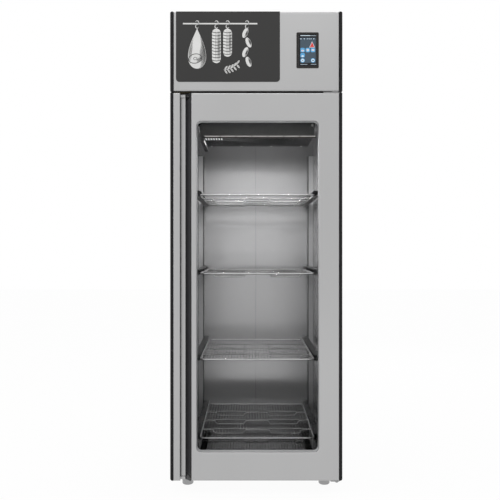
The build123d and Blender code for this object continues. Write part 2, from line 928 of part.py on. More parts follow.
for number, level in enumerate(shelf_levels, start=1):
    cross_level = level - thin_wire_radius - cross_wire_radius
    well_level = cross_level - well_drop
    wire_end = rim_x - rim_reach
    cross_end = wire_end + thin_wire_radius * hexagon_slope

    with BuildPart() as shelf_rim:
        corners = [
            (-rim_x + rim_corner, rim_front),
            (rim_x - rim_corner, rim_front),
            (rim_x - corner_step, rim_front + corner_step),
            (rim_x, rim_front + rim_corner),
            (rim_x, rim_rear - rim_corner),
            (rim_x - corner_step, rim_rear - corner_step),
            (rim_x - rim_corner, rim_rear),
            (-rim_x + rim_corner, rim_rear),
            (-rim_x + corner_step, rim_rear - corner_step),
            (-rim_x, rim_rear - rim_corner),
            (-rim_x, rim_front + rim_corner),
            (-rim_x + corner_step, rim_front + corner_step),
        ]
        with BuildLine() as rim_path:
            Polyline(*[(cavity_middle + x, y, level) for x, y in corners], close=True)
        with BuildSketch(Plane(origin=rim_path.line @ 0, x_dir=(0, 1, 0), z_dir=rim_path.line % 0)):
            RegularPolygon(rim_radius, rim_sides, major_radius=False)
        sweep(path=rim_path.wires()[0], transition=Transition.RIGHT)

    with BuildPart() as thin_wires:
        gap = 2 * wire_end / (thin_wire_count + 1)
        with BuildSketch(upright_plane(rim_rear - rim_reach)):
            with Locations(
                *[(cavity_middle - wire_end + gap * (i + 1), level) for i in range(thin_wire_count)]
            ):
                RegularPolygon(
                    thin_wire_radius,
                    wire_sides,
                    major_radius=False,
                    rotation=180 / wire_sides,
                )
        extrude(amount=rim_rear - rim_front - 2 * rim_reach)

    with BuildPart() as cross_wires:
        for row in cross_wire_rows:
            y = shelf_front + row
            stepped = [(-cross_end, cross_level)]
            for left, right in wells:
                stepped += [
                    (left - well_ramp, cross_level),
                    (left, well_level),
                    (right, well_level),
                    (right + well_ramp, cross_level),
                ]
            stepped.append((cross_end, cross_level))
            bent_wire([(cavity_middle + x, y, z) for x, z in stepped], cross_wire_radius, wire_sides)
            straight = y + cross_wire_spacing
            bent_wire(
                [
                    (cavity_middle - cross_end, straight, cross_level),
                    (cavity_middle + cross_end, straight, cross_level),
                ],
                cross_wire_radius,
                wire_sides,
            )

    shelf = Compound(label=f"shelf_{number}", children=[shelf_rim.part, thin_wires.part, cross_wires.part])
    export_step(shelf, f"parts/shelf_{number}.step")

# Evaporator under the ceiling: dark housing, finned coil, two fans, lamp strip and knobs
fan_z = (housing_bottom + cavity_ceiling) / 2
fan_middles = [cavity_middle + side * fan_spread for side in (-1, 1)]

with BuildPart() as evaporator_housing:
    block((housing_left, housing_front, housing_bottom), (housing_right, housing_rear, cavity_ceiling))
    offset(amount=-housing_sheet, openings=evaporator_housing.faces().sort_by(Axis.Z)[-1])
    for i in range(louvre_count):
        left = rail_end + louvre_gap + louvre_pitch * i
        near = housing_front + louvre_inset
        block(
            (left, near, housing_bottom - overrun),
            (left + louvre_width, near + louvre_length, housing_bottom + overrun),
            mode=Mode.SUBTRACT,
        )
    with BuildSketch(upright_plane(housing_rear)):
        with Locations(*[(x, fan_z) for x in fan_middles]):
            RegularPolygon(fan_opening_radius, ring_sides)
    extrude(amount=housing_sheet, mode=Mode.SUBTRACT)
    block(
        (housing_left, housing_front, housing_bottom - rail_drop),
        (rail_end, housing_rear, housing_bottom),
    )
evaporator_housing.part.label = "evaporator_housing"
export_step(evaporator_housing.part, "parts/evaporator_housing.step")


def fin_block(left, right, near, far, low, high):
    """Build a finned block: deep grooves cut from above and below leave fins on a thin core."""
    block((left, near, low), (right, far, high))
    count = int((right - left) // fin_pitch)
    start = (left + right - count * fin_pitch) / 2
    for i in range(count):
        groove = start + fin_pitch * i + (fin_pitch - fin_gap) / 2
        end = groove + fin_gap
        for base, top in ((low - overrun, low + fin_depth), (high - fin_depth, high + overrun)):
            block((groove, near - overrun, base), (end, far + overrun, top), mode=Mode.SUBTRACT)


coil_high = cavity_ceiling - coil_ceiling_gap
with BuildPart() as evaporator_coil:
    fin_block(
        coil_left,
        coil_right,
        coil_front,
        coil_rear,
        coil_high - coil_height,
        coil_high,
    )
evaporator_coil.part.label = "evaporator_coil"
export_step(evaporator_coil.part, "parts/evaporator_coil.step")


def fan_rotor(centre, axis, blade_radius, hub_radius, hub_length, bore):
    """Build a fan wheel: a bored hub and flat blades set at a pitch, with cut-back tips."""
    hub_plane = Plane(origin=centre, z_dir=axis)
    with BuildSketch(hub_plane) as hub:
        RegularPolygon(hub_radius, hub_sides)
    extrude(hub.sketch, amount=hub_length / 2, both=True)
    root_radius = hub_radius * blade_root_share
    half_sweep = blade_sweep_angle / 2
    with BuildSketch(Plane.XY) as blade:
        with BuildLine():
            Polyline(
                Vector(root_radius, 0).rotate(Axis.Z, -half_sweep),
                Vector(blade_radius, 0).rotate(Axis.Z, -half_sweep),
                Vector(blade_radius, 0).rotate(Axis.Z, -half_sweep * tip_share),
                Vector(blade_radius, 0).rotate(Axis.Z, half_sweep * tip_share),
                Vector(blade_radius * trailing_share, 0).rotate(Axis.Z, half_sweep),
                Vector(root_radius, 0).rotate(Axis.Z, half_sweep),
                close=True,
            )
        make_face()
    flat_blade = extrude(blade.sketch, amount=fan_blade_sheet / 2, both=True, mode=Mode.PRIVATE)
    pitched = flat_blade.rotate(Axis.X, blade_angle)
    with Locations(hub_plane.location):
        with PolarLocations(0, fan_blades):
            add(pitched)
    with BuildSketch(hub_plane) as shaft_hole:
        RegularPolygon(bore, hub_sides, major_radius=False)
    extrude(shaft_hole.sketch, amount=hub_length, both=True, mode=Mode.SUBTRACT)


fan_axis = (0, -1, 0)
for name, x in zip(("evaporator_fan_left", "evaporator_fan_right"), fan_middles):
    with BuildPart() as fan:
        fan_rotor(
            (x, rotor_y, fan_z),
            fan_axis,
            fan_radius,
            fan_hub_radius,
            fan_hub_length,
            fan_shaft_radius + fan_shaft_clearance,
        )
    fan.part.label = name
    export_step(fan.part, f"parts/{name}.step")

with BuildPart() as evaporator_fan_motors:
    for x in fan_middles:
        with BuildSketch(upright_plane(motor_rear)):
            with Locations((x, fan_z)):
                RegularPolygon(fan_motor_radius, hub_sides)
        extrude(amount=fan_motor_length)
        with BuildSketch(upright_plane(rotor_y + fan_hub_length / 2)):
            with Locations((x, fan_z)):
                RegularPolygon(fan_shaft_radius, hub_sides)
        extrude(amount=fan_hub_length + fan_gap)
        block(
            (x - fan_bracket_width / 2, motor_rear - fan_motor_length, fan_z + fan_motor_radius - overrun),
            (x + fan_bracket_width / 2, motor_rear, cavity_ceiling),
        )
evaporator_fan_motors.part.label = "evaporator_fan_motors"
export_step(evaporator_fan_motors.part, "parts/evaporator_fan_motors.step")

# Lamp strip along the housing's lower front edge: a channel and its lenses
led_low = housing_bottom - led_height
led_rear = housing_front + led_depth
with BuildPart() as led_channel:
    block((rail_end, housing_front, led_low), (housing_right, led_rear, housing_bottom))
    block(
        (rail_end - overrun, housing_front - overrun, led_low + lens_thickness),
        (housing_right + overrun, led_rear - lens_thickness, housing_bottom - lens_thickness),
        mode=Mode.SUBTRACT,
    )
led_channel.part.label = "led_channel"
export_step(led_channel.part, "parts/led_channel.step")

with BuildPart() as led_lenses:
    lens_pitch = (housing_right - rail_end) / led_count
    for i in range(led_count):
        start = rail_end + lens_pitch * i
        block(
            (start + led_gap / 2, housing_front, led_low + lens_thickness),
            (
                start + lens_pitch - led_gap / 2,
                housing_front + led_depth / 2,
                housing_bottom - lens_thickness,
            ),
        )
led_lenses.part.label = "led_lenses"
export_step(led_lenses.part, "parts/led_lenses.step")

with BuildPart() as housing_knobs:
    for x in (housing_left + knob_inset, housing_right - knob_inset):
        with BuildSketch(upright_plane(housing_front)):
            with Locations((x, housing_bottom + knob_lift)):
                RegularPolygon(knob_radius, knob_sides)
        extrude(amount=knob_length)
    chamfer(housing_knobs.faces().group_by(Axis.Y)[0].edges(), length=knob_edge)
housing_knobs.part.label = "housing_knobs"
export_step(housing_knobs.part, "parts/housing_knobs.step")

# Machine compartment: vented top cover and rear grille
with BuildPart() as top_cover:
    block(
        (-skin_inside, body_front + skin_thickness, cabinet_height - skin_thickness),
        (skin_inside, rear_y - skin_thickness, cabinet_height),
    )
    with BuildSketch(Plane.XY.offset(cabinet_height)):
        with Locations((0, rear_y - cover_slots_rear_gap)):
            with GridLocations(cover_slot_pitch, cover_slot_length, cover_slot_count, 1):
                Rectangle(cover_slot_width, cover_slot_length)
    extrude(amount=-skin_thickness, mode=Mode.SUBTRACT)
top_cover.part.label = "top_cover"
export_step(top_cover.part, "parts/top_cover.step")

grille_middle = (header_bottom + cabinet_height) / 2
with BuildPart() as rear_grille:
    block(
        (-skin_inside, rear_y - skin_thickness, header_bottom),
        (skin_inside, rear_y, cabinet_height),
    )
    with BuildSketch(upright_plane(rear_y)):
        with Locations((0, grille_middle)):
            with GridLocations(grille_columns_pitch, grille_slot_pitch, 2, grille_slot_rows):
                Rectangle(grille_slot_length, grille_slot_height)
    extrude(amount=skin_thickness, mode=Mode.SUBTRACT)
rear_grille.part.label = "rear_grille"
export_step(rear_grille.part, "parts/rear_grille.step")

# Compressor: a welded shell on a foot plate with four pads
shell_low = header_bottom + pad_height + compressor_foot_sheet
shell_high = shell_low + compressor_height
with BuildPart() as compressor:
    with BuildSketch(Plane.XY.offset(shell_low)):
        with Locations((compressor_x, compressor_y)):
            RegularPolygon(compressor_radius, shell_sides)
    extrude(amount=compressor_height)
    chamfer(compressor.faces().filter_by(Axis.Z).edges(), length=compressor_dome)
    with BuildSketch(Plane.XY.offset(shell_low - compressor_foot_sheet)):
        with Locations((compressor_x, compressor_y)):
            Rectangle(compressor_foot, compressor_foot)
    extrude(amount=compressor_foot_sheet)
    pad_reach = compressor_foot - pad_width
    with BuildSketch(Plane.XY.offset(header_bottom)):
        with Locations((compressor_x, compressor_y)):
            with GridLocations(pad_reach, pad_reach, 2, 2):
                Rectangle(pad_width, pad_width)
    extrude(amount=pad_height)
compressor.part.label = "compressor"
export_step(compressor.part, "parts/compressor.step")

# Condenser, its shroud, fan and motor
condenser_low = header_bottom + condenser_lift
condenser_high = condenser_low + condenser_height
condenser_middle = ((condenser_left + condenser_right) / 2, (condenser_low + condenser_high) / 2)
with BuildPart() as condenser_coil:
    fin_block(
        condenser_left,
        condenser_right,
        condenser_y,
        condenser_y + condenser_thickness,
        condenser_low,
        condenser_high,
    )
condenser_coil.part.label = "condenser_coil"
export_step(condenser_coil.part, "parts/condenser_coil.step")

shroud_front = condenser_y - shroud_depth
ring_radius = condenser_fan_radius + condenser_fan_gap
with BuildPart() as condenser_shroud:
    block((condenser_left, shroud_front, header_bottom), (condenser_right, condenser_y, condenser_high))
    offset(amount=-shroud_sheet, openings=condenser_shroud.faces().sort_by(Axis.Y)[-1])
    with BuildSketch(upright_plane(shroud_front)):
        with Locations(condenser_middle):
            RegularPolygon(ring_radius, ring_sides)
    extrude(amount=-shroud_sheet, mode=Mode.SUBTRACT)
    with BuildSketch(upright_plane(shroud_front)):
        with Locations(condenser_middle):
            RegularPolygon(ring_radius + shroud_sheet, ring_sides)
            RegularPolygon(ring_radius, ring_sides, mode=Mode.SUBTRACT)
    extrude(amount=condenser_ring)
condenser_shroud.part.label = "condenser_shroud"
export_step(condenser_shroud.part, "parts/condenser_shroud.step")

condenser_rotor_y = shroud_front
condenser_shaft_front = condenser_rotor_y - condenser_hub_length / 2 - fan_gap
with BuildPart() as condenser_fan:
    fan_rotor(
        (condenser_middle[0], condenser_rotor_y, condenser_middle[1]),
        fan_axis,
        condenser_fan_radius,
        condenser_hub_radius,
        condenser_hub_length,
        condenser_shaft_radius + fan_shaft_clearance,
    )
condenser_fan.part.label = "condenser_fan"
export_step(condenser_fan.part, "parts/condenser_fan.step")

with BuildPart() as condenser_fan_motor:
    with BuildSketch(upright_plane(condenser_shaft_front)):
        with Locations(condenser_middle):
            RegularPolygon(condenser_motor_radius, hub_sides)
    extrude(amount=condenser_motor_length)
    with BuildSketch(upright_plane(condenser_rotor_y + condenser_hub_length / 2)):
        with Locations(condenser_middle):
            RegularPolygon(condenser_shaft_radius, hub_sides)
    extrude(amount=condenser_hub_length + fan_gap)
    motor_front = condenser_shaft_front - condenser_motor_length
    block(
        (condenser_middle[0] - strut_width, motor_front, header_bottom),
        (condenser_middle[0] + strut_width, motor_front + strut_width, condenser_middle[1]),
    )
    block(
        (condenser_middle[0] - condenser_motor_radius, motor_front - strut_width, header_bottom),
        (
            condenser_middle[0] + condenser_motor_radius,
            condenser_shaft_front,
            header_bottom + compressor_foot_sheet,
        ),
    )
condenser_fan_motor.part.label = "condenser_fan_motor"
export_step(condenser_fan_motor.part, "parts/condenser_fan_motor.step")

# Control box on the compartment's floor, behind the header
with BuildPart() as control_box:
    block(
        (control_box_left, control_box_front, header_bottom),
        (
            control_box_right,
            control_box_front + control_box_depth,
            header_bottom + control_box_height,
        ),
    )
    fillet(control_box.edges().filter_by(Axis.Z), radius=edge_radius)
    lid_low = header_bottom + control_box_height - control_box_gap
    block(
        (control_box_left - lid_overhang, control_box_front - lid_overhang, lid_low),
        (
            control_box_right + lid_overhang,
            control_box_front + control_box_depth + lid_overhang,
            header_bottom + control_box_height,
        ),
    )
control_box.part.label = "control_box"
export_step(control_box.part, "parts/control_box.step")


# Pipes: hot gas from the shell to the condenser, suction up from the evaporator to the shell
pipe_height = shell_high + pipe_rise
with BuildPart() as refrigerant_pipes:
    bent_wire(
        [
            (compressor_x - pipe_entry, compressor_y, shell_high),
            (compressor_x - pipe_entry, compressor_y, pipe_height),
            (condenser_right + pipe_clear, compressor_y, pipe_height),
            (condenser_right + pipe_clear, condenser_y + condenser_thickness / 2, pipe_height),
            (condenser_right, condenser_y + condenser_thickness / 2, pipe_height),
        ],
        pipe_radius,
        pipe_sides,
    )
    bent_wire(
        [
            (coil_right, pipe_drop_y, coil_high - coil_height / 2),
            (pipe_drop_x, pipe_drop_y, coil_high - coil_height / 2),
            (pipe_drop_x, pipe_drop_y, pipe_height),
            (pipe_drop_x, compressor_y, pipe_height),
            (pipe_drop_x, compressor_y, shell_high),
        ],
        suction_pipe_radius,
        pipe_sides,
    )
refrigerant_pipes.part.label = "refrigerant_pipes"
export_step(refrigerant_pipes.part, "parts/refrigerant_pipes.step")

# Feet: cups with a chamfered lower edge on spindles that turn in sockets in the base
with BuildPart() as foot_sockets:
    with BuildSketch(Plane.XY.offset(foam_bottom)):
        with Locations(*foot_places):
            RegularPolygon(socket_radius, nut_sides)
    extrude(amount=socket_height)
    with BuildSketch(Plane.XY.offset(foam_bottom)):
        with Locations(*foot_places):
            RegularPolygon(spindle_radius + spindle_clearance, spindle_sides)
    extrude(amount=socket_height, mode=Mode.SUBTRACT)
foot_sockets.part.label = "foot_sockets"
export_step(foot_sockets.part, "parts/foot_sockets.step")

foot_names = ("foot_front_left", "foot_rear_left", "foot_front_right", "foot_rear_right")
for name, place in zip(foot_names, foot_places):
    with BuildPart() as foot:
        with BuildSketch():
            with Locations(place):
                RegularPolygon(foot_radius, foot_sides)
        extrude(amount=foot_height - foot_top_gap)
        chamfer(foot.faces().sort_by(Axis.Z)[0].edges(), length=foot_edge_radius)
        with BuildSketch(Plane.XY.offset(foot_height - foot_top_gap)):
            with Locations(place):
                RegularPolygon(spindle_radius, spindle_sides)
        extrude(amount=spindle_length)
    foot.part.label = name
    export_step(foot.part, f"parts/{name}.step")
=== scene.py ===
# %% [markdown]
# # An upright curing cabinet
# The CAD model already gives every sheet, pane, shelf and hinge its place. This notebook dresses it: it gives
# each surface its finish, swaps the faceted or plain solids that show for rounder ones, and adds the fine
# things that a maker leaves out of CAD, such as the printed panel, the lit display and the screws.
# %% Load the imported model
import math

import bmesh
import bpy
from mathutils import Matrix, Vector


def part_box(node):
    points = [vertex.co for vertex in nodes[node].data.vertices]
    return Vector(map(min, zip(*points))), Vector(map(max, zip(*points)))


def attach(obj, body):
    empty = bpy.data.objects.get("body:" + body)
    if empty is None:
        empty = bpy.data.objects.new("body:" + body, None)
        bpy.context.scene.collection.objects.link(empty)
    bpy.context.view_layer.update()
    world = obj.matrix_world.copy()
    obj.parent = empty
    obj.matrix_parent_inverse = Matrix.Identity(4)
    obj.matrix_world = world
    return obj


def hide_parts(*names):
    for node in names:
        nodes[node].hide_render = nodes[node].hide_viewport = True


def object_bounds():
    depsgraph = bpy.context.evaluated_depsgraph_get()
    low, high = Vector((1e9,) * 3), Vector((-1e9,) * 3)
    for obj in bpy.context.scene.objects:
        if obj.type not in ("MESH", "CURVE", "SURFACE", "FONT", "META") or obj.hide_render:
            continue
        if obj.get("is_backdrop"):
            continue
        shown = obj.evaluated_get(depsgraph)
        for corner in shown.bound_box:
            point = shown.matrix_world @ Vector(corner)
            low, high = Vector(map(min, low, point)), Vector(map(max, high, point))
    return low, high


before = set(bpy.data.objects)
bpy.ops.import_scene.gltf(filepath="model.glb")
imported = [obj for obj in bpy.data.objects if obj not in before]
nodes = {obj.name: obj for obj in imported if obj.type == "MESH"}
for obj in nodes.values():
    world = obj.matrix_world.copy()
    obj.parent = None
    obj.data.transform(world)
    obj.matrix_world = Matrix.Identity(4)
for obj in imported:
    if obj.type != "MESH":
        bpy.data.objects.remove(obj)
cad_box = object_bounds()
mm = 0.001

# %% [markdown]
# ## Camera
# The photograph is a straight front view from a little left of the middle. The eye stands at half the
# cabinet's height, so the shelves above it are seen from below and the ones under it from above. A lens of
# 46 mm on a 36 mm sensor, 2.77 m in front of the door, gives the same frame.
# %% Camera
LENS = 45.8
SENSOR = 36
EYE_LEFT = 27.4 * mm
EYE_DISTANCE = 2.77
EYE_HEIGHT = 1.066
camera = bpy.data.objects.new("camera", bpy.data.cameras.new("camera"))
bpy.context.scene.collection.objects.link(camera)
camera.data.lens = LENS
camera.data.sensor_width = SENSOR
camera.location = (-EYE_LEFT, cad_box[0][1] - EYE_DISTANCE, EYE_HEIGHT)
camera.rotation_euler = (math.radians(90), 0, 0)
bpy.context.scene.camera = camera
bpy.context.scene.view_settings.view_transform = "Standard"
print("camera at", camera.location, "with a lens of", LENS, "mm")

# %% [markdown]
# ## Studio
# Satin steel has hardly any colour of its own and shows what stands round it, so the studio matters as much
# as the material. An even pale world lights the front softly, but rays that reach it straight or by way of a
# mirror see plain white. That needs only one mix of two backgrounds, chosen by the kind of ray.
# %% World
WORLD_LEVEL = 0.8
WHITE = (1, 1, 1, 1)
WHITE_LEVEL = 1.0


def put(tree, kind, inputs=None, **settings):
    """Add a node, set its values and link the sockets that are given as inputs."""
    node = tree.nodes.new(kind)
    for key, value in settings.items():
        setattr(node, key, value)
    for key, value in (inputs or {}).items():
        if isinstance(value, bpy.types.NodeSocket):
            tree.links.new(value, node.inputs[key])
        else:
            node.inputs[key].default_value = value
    return node


def calc(tree, operation, *values):
    """One Math node, as its output socket."""
    return put(tree, "ShaderNodeMath", dict(enumerate(values)), operation=operation).outputs[0]


def seen_directly(tree):
    """One socket that is 1 for rays that come straight, mirrored or refracted from the camera."""
    rays = put(tree, "ShaderNodeLightPath").outputs
    mirrored = calc(tree, "MAXIMUM", rays["Is Camera Ray"], rays["Is Glossy Ray"])
    return calc(tree, "MAXIMUM", mirrored, rays["Is Transmission Ray"])


world = bpy.data.worlds.new("studio")
bpy.context.scene.world = world
world.use_nodes = True
world_tree = world.node_tree
world_tree.nodes.clear()
plain_light = put(world_tree, "ShaderNodeBackground", {"Color": WHITE, "Strength": WORLD_LEVEL})
white_view = put(world_tree, "ShaderNodeBackground", {"Color": WHITE, "Strength": WHITE_LEVEL})
views = {0: seen_directly(world_tree), 1: plain_light.outputs[0], 2: white_view.outputs[0]}
choose = put(world_tree, "ShaderNodeMixShader", views)
put(world_tree, "ShaderNodeOutputWorld", {"Surface": choose.outputs[0]})
print("world lights at", WORLD_LEVEL, "and is seen at", WHITE_LEVEL)

# %% [markdown]
# ### Lamps
# Area lamps give soft light with a direction. A large one overhead and one at the left draw the lighter
# lines along the rounded sheet edges, a long low one brightens the foot of the door, and one behind lights
# the back. Each is turned to the cabinet by the vector from its place to a point on the door.
# %% Lamps
LAMP_TARGET = Vector((0, -0.3, 1.05))


def soft_lamp(name, place, width, height, power, target=LAMP_TARGET):
    """Add a rectangular lamp that looks at a point and isn't seen itself."""
    lamp = bpy.data.objects.new(name, bpy.data.lights.new(name, "AREA"))
    lamp.data.shape = "RECTANGLE"
    lamp.data.size = width
    lamp.data.size_y = height
    lamp.data.energy = power
    lamp.location = place
    lamp.rotation_euler = (target - Vector(place)).to_track_quat("-Z", "Y").to_euler()
    lamp.visible_camera = False
    bpy.context.scene.collection.objects.link(lamp)
    print(name, "at", place, "with", power, "W")
    return lamp


soft_lamp("overhead_lamp", (-0.4, -1.9, 3.9), 2.6, 1.2, 17)
soft_lamp("left_lamp", (-3.2, -1.6, 1.8), 1.0, 2.2, 14)
soft_lamp("low_lamp", (0.3, -2.6, 0.12), 1.6, 0.2, 0.8)
soft_lamp("back_lamp", (1.6, 3.2, 2.6), 1.6, 2.0, 22)

# %% [markdown]
# ### Floor
# The floor is one large matt square that keeps the shadow of the feet. What the camera sees of it is mixed
# with a plain white glow, so it ends up near white, as in a cut-out product picture.
# %% Floor
FLOOR_REACH = 14.0
FLOOR_VIEW_SHARE = 0.95
FLOOR_PAINT = (0.9, 0.9, 0.9, 1)
floor_mesh = bpy.data.meshes.new("floor")
floor_corners = [(x * FLOOR_REACH, y * FLOOR_REACH, 0) for x, y in ((-1, -1), (1, -1), (1, 1), (-1, 1))]
floor_mesh.from_pydata(floor_corners, [], [(0, 1, 2, 3)])
floor = bpy.data.objects.new("floor", floor_mesh)
bpy.context.scene.collection.objects.link(floor)
floor_paint = bpy.data.materials.new("floor_paint")
floor_paint.use_nodes = True
floor_tree = floor_paint.node_tree
floor_tree.nodes.clear()
matt = put(floor_tree, "ShaderNodeBsdfDiffuse", {"Color": FLOOR_PAINT})
glow = put(floor_tree, "ShaderNodeEmission", {"Color": WHITE, "Strength": WHITE_LEVEL})
view_share = calc(floor_tree, "MULTIPLY", seen_directly(floor_tree), FLOOR_VIEW_SHARE)
floor_mix = put(floor_tree, "ShaderNodeMixShader", {0: view_share, 1: matt.outputs[0], 2: glow.outputs[0]})
put(floor_tree, "ShaderNodeOutputMaterial", {"Surface": floor_mix.outputs[0]})
floor_mesh.materials.append(floor_paint)
floor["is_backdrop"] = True
print("floor reaches", FLOOR_REACH, "m each way")

# %% [markdown]
# ## Finishes
# Every finish is built from the same two layers of noise on the object's own coordinates. A fine one,
# stretched along the grain, lifts a slight bump. Broad clouds stand for what handling and cleaning leave, and
# both together shift colour and roughness a little. What differs from one material to the next is the
# direction and size of the grain and how strongly it shows. One function that builds those layers keeps the
# materials easy to compare.
# %% Layered finish
GRAIN_DETAIL = 3.0
CLOUD_DETAIL = 4.0
BOTH_LOW, BOTH_HIGH = 0.6, 1.4


def finish(
    name,
    colour,
    roughness,
    metallic=0.0,
    grain=(900, 900, 900),
    clouds=(9, 9, 9),
    colour_spread=0.04,
    roughness_spread=0.06,
    bump=0.08,
    depth=0.0002,
    coat=0.0,
    shine=0.5,
):
    """Make a material from a base colour, a fine grain and broad clouds, both in object coordinates."""
    material = bpy.data.materials.new(name)
    material.use_nodes = True
    tree = material.node_tree
    shader = tree.nodes["Principled BSDF"]
    place = put(tree, "ShaderNodeTexCoord").outputs["Object"]
    layers = []
    for scale, detail in ((grain, GRAIN_DETAIL), (clouds, CLOUD_DETAIL)):
        spread = put(tree, "ShaderNodeMapping", {"Vector": place, "Scale": scale}).outputs[0]
        noise = put(tree, "ShaderNodeTexNoise", {"Vector": spread, "Scale": 1.0, "Detail": detail})
        layers.append(noise.outputs[0])
    both = calc(tree, "ADD", *layers)
    span = {"Value": both, "From Min": BOTH_LOW, "From Max": BOTH_HIGH}
    share = put(tree, "ShaderNodeMapRange", span)
    dark = [c * (1 - colour_spread) for c in colour] + [1]
    light = [min(1, c * (1 + colour_spread)) for c in colour] + [1]
    tint = put(tree, "ShaderNodeMix", {0: share.outputs[0], 6: dark, 7: light}, data_type="RGBA")
    limits = {"To Min": roughness - roughness_spread, "To Max": roughness + roughness_spread}
    rough = put(tree, "ShaderNodeMapRange", {**span, **limits})
    relief = put(tree, "ShaderNodeBump", {"Height": layers[0], "Strength": bump, "Distance": depth})
    tree.links.new(tint.outputs[2], shader.inputs["Base Color"])
    tree.links.new(rough.outputs[0], shader.inputs["Roughness"])
    tree.links.new(relief.outputs[0], shader.inputs["Normal"])
    shader.inputs["Metallic"].default_value = metallic
    shader.inputs["Coat Weight"].default_value = coat
    shader.inputs["Specular IOR Level"].default_value = shine
    print("finish", name, "roughness", roughness, "metallic", metallic)
    return material


# %% [markdown]
# ### Stainless steel
# The door, the header and the grip are satin stainless sheet: the grain runs up the sheet and is so fine that
# from here it only breaks the reflections up. The liner has a brighter, smoother finish, so it mirrors the
# lamp strip and the shelves. Polished sheet is fully metallic, because bare steel has hardly any diffuse
# colour. The floor liner is the same steel painted much darker, as painted shade at the foot of the chamber.
# The liner, the reveal and the wires keep a diffuse share that stands for fine scratches and, as painted
# light, for light that comes by way of several walls; the reveal and the bright wires are painted lighter
# than the sheet.
# %% Sheet steels
satin_steel = finish(
    "satin_steel", (0.462, 0.462, 0.464), 0.42, 1.0, (2200, 2200, 60), (5, 5, 1.2), 0.03, 0.05, 0.05
)
side_steel = finish(
    "side_steel", (0.45, 0.45, 0.455), 0.4, 1.0, (60, 60, 2200), (2, 2, 6), 0.035, 0.06, 0.05
)
liner_steel = finish(
    "liner_steel", (0.5, 0.5, 0.505), 0.2, 0.62, (1500, 1500, 40), (4, 4, 1), 0.04, 0.02, 0.004
)
# The floor liner is the liner's steel painted much darker, as painted shade at the foot of the chamber.
floor_steel = finish(
    "floor_steel", (0.2, 0.2, 0.202), 0.06, 1.0, (1500, 60, 1500), (6, 1, 6), 0.1, 0.02, 0.0
)
# The reveal is the door's steel painted lighter, as painted light in the recess round the window.
reveal_steel = finish("reveal_steel", (0.74, 0.745, 0.75), 0.5, 0.3, bump=0.04)
hinge_steel = finish("hinge_steel", (0.3, 0.3, 0.303), 0.33, 1.0, (80, 1800, 1800), bump=0.06)


def dress(material, *names):
    """Give CAD nodes a material in place of their packed one."""
    for name in names:
        mesh = nodes[name].data
        mesh.materials.clear()
        mesh.materials.append(material)


dress(satin_steel, "door_inner_panel")
dress(side_steel, "left_side_panel", "right_side_panel")
dress(liner_steel, "left_liner", "right_liner", "rear_liner", "ceiling_liner")
dress(floor_steel, "floor_liner")
dress(hinge_steel, "top_hinge", "bottom_hinge")

# %% Turned steel, wires and slides
foot_steel = finish("foot_steel", (0.33, 0.33, 0.333), 0.2, 1.0, (300, 300, 2600), (14, 14, 40), bump=0.06)
# The thin wires are the same steel as the rim, painted nearly black as painted shade.
thin_wire_steel = finish("thin_wire_steel", (0.07, 0.07, 0.071), 0.25, 1.0, (300, 300, 300), bump=0.02)
# The rim and the cross wires are painted lighter than the sheet steel, as painted light.
wire_steel, well_steel, cross_steel = (
    finish(name, (0.85, 0.85, 0.85), 0.2, 0.8, (300, 300, 300), (20, 20, 20), 0.06, 0.04, 0.02)
    for name in ("wire_steel", "well_steel", "cross_steel")
)
rack_steel = finish("rack_steel", (0.5, 0.5, 0.505), 0.4, 0.4, (1500, 1500, 60), bump=0.05)
# The slides are near black; the uprights' webs get the same colour as painted shade in the gap behind the
# flanges.
slide_paint = finish("slide_paint", (0.03, 0.03, 0.031), 0.3, 0.3, (60, 900, 900), bump=0.05)
dress(slide_paint, "shelf_slides")

# %% [markdown]
# ### Brushed liner
# Brushing scratches the liner's sheet along one direction, which draws every reflection out across it. The
# Principled shader does that with its Anisotropic input and a tangent. The tangent is given as one fixed
# direction that suits the side walls and the back wall alike, so no UV map is needed.
# %% Brushed reflections
BRUSHED_SPREAD = 0.9
BRUSHED_WAY = (1.0, 0.6, 0.0)
liner_tree = liner_steel.node_tree
liner_shader = liner_tree.nodes["Principled BSDF"]
liner_shader.inputs["Anisotropic"].default_value = BRUSHED_SPREAD
liner_tangent = put(liner_tree, "ShaderNodeCombineXYZ", dict(enumerate(BRUSHED_WAY)))
liner_tree.links.new(liner_tangent.outputs[0], liner_shader.inputs["Tangent"])
print("liner brushed along", BRUSHED_WAY, "with a spread of", BRUSHED_SPREAD)

# %% [markdown]
# ### Dark undersides
# Polished wires look bright on top, where they catch the lamps, and dark below, where they mirror what is
# beneath them. A painted shade, a dark colour on whatever faces down, gives that line of shade at any size of
# wire. The surface normal says which way a point faces, so the painted shade stays where it is from every
# side. The straight cross wires lie close under the thin ones, which shade them, so their painted shade
# reaches further up.
# %% Painted shade on what faces down
PAINTED_SHADE_COLOUR = (0.04, 0.04, 0.041, 1)


def paint_shade_below(material, low, high):
    """Paint a dark shade over what faces down, up to where the normal's height passes the two limits."""
    tree = material.node_tree
    base = tree.nodes["Principled BSDF"].inputs["Base Color"]
    facing = put(tree, "ShaderNodeSeparateXYZ", {0: put(tree, "ShaderNodeNewGeometry").outputs["Normal"]})
    limits = {"Value": facing.outputs["Z"], "From Min": low, "From Max": high}
    share = put(tree, "ShaderNodeMapRange", limits).outputs[0]
    layers = {0: share, 6: PAINTED_SHADE_COLOUR, 7: base.links[0].from_socket}
    mixed = put(tree, "ShaderNodeMix", layers, data_type="RGBA")
    tree.links.new(mixed.outputs[2], base)
    print("film on", material.name, "from a normal height of", low, "to", high)


# Painted shade on the wires' undersides; it reaches furthest up on the straight cross wires.
paint_shade_below(wire_steel, -0.65, -0.2)
paint_shade_below(well_steel, -0.55, 0.2)
paint_shade_below(cross_steel, -0.3, 0.7)

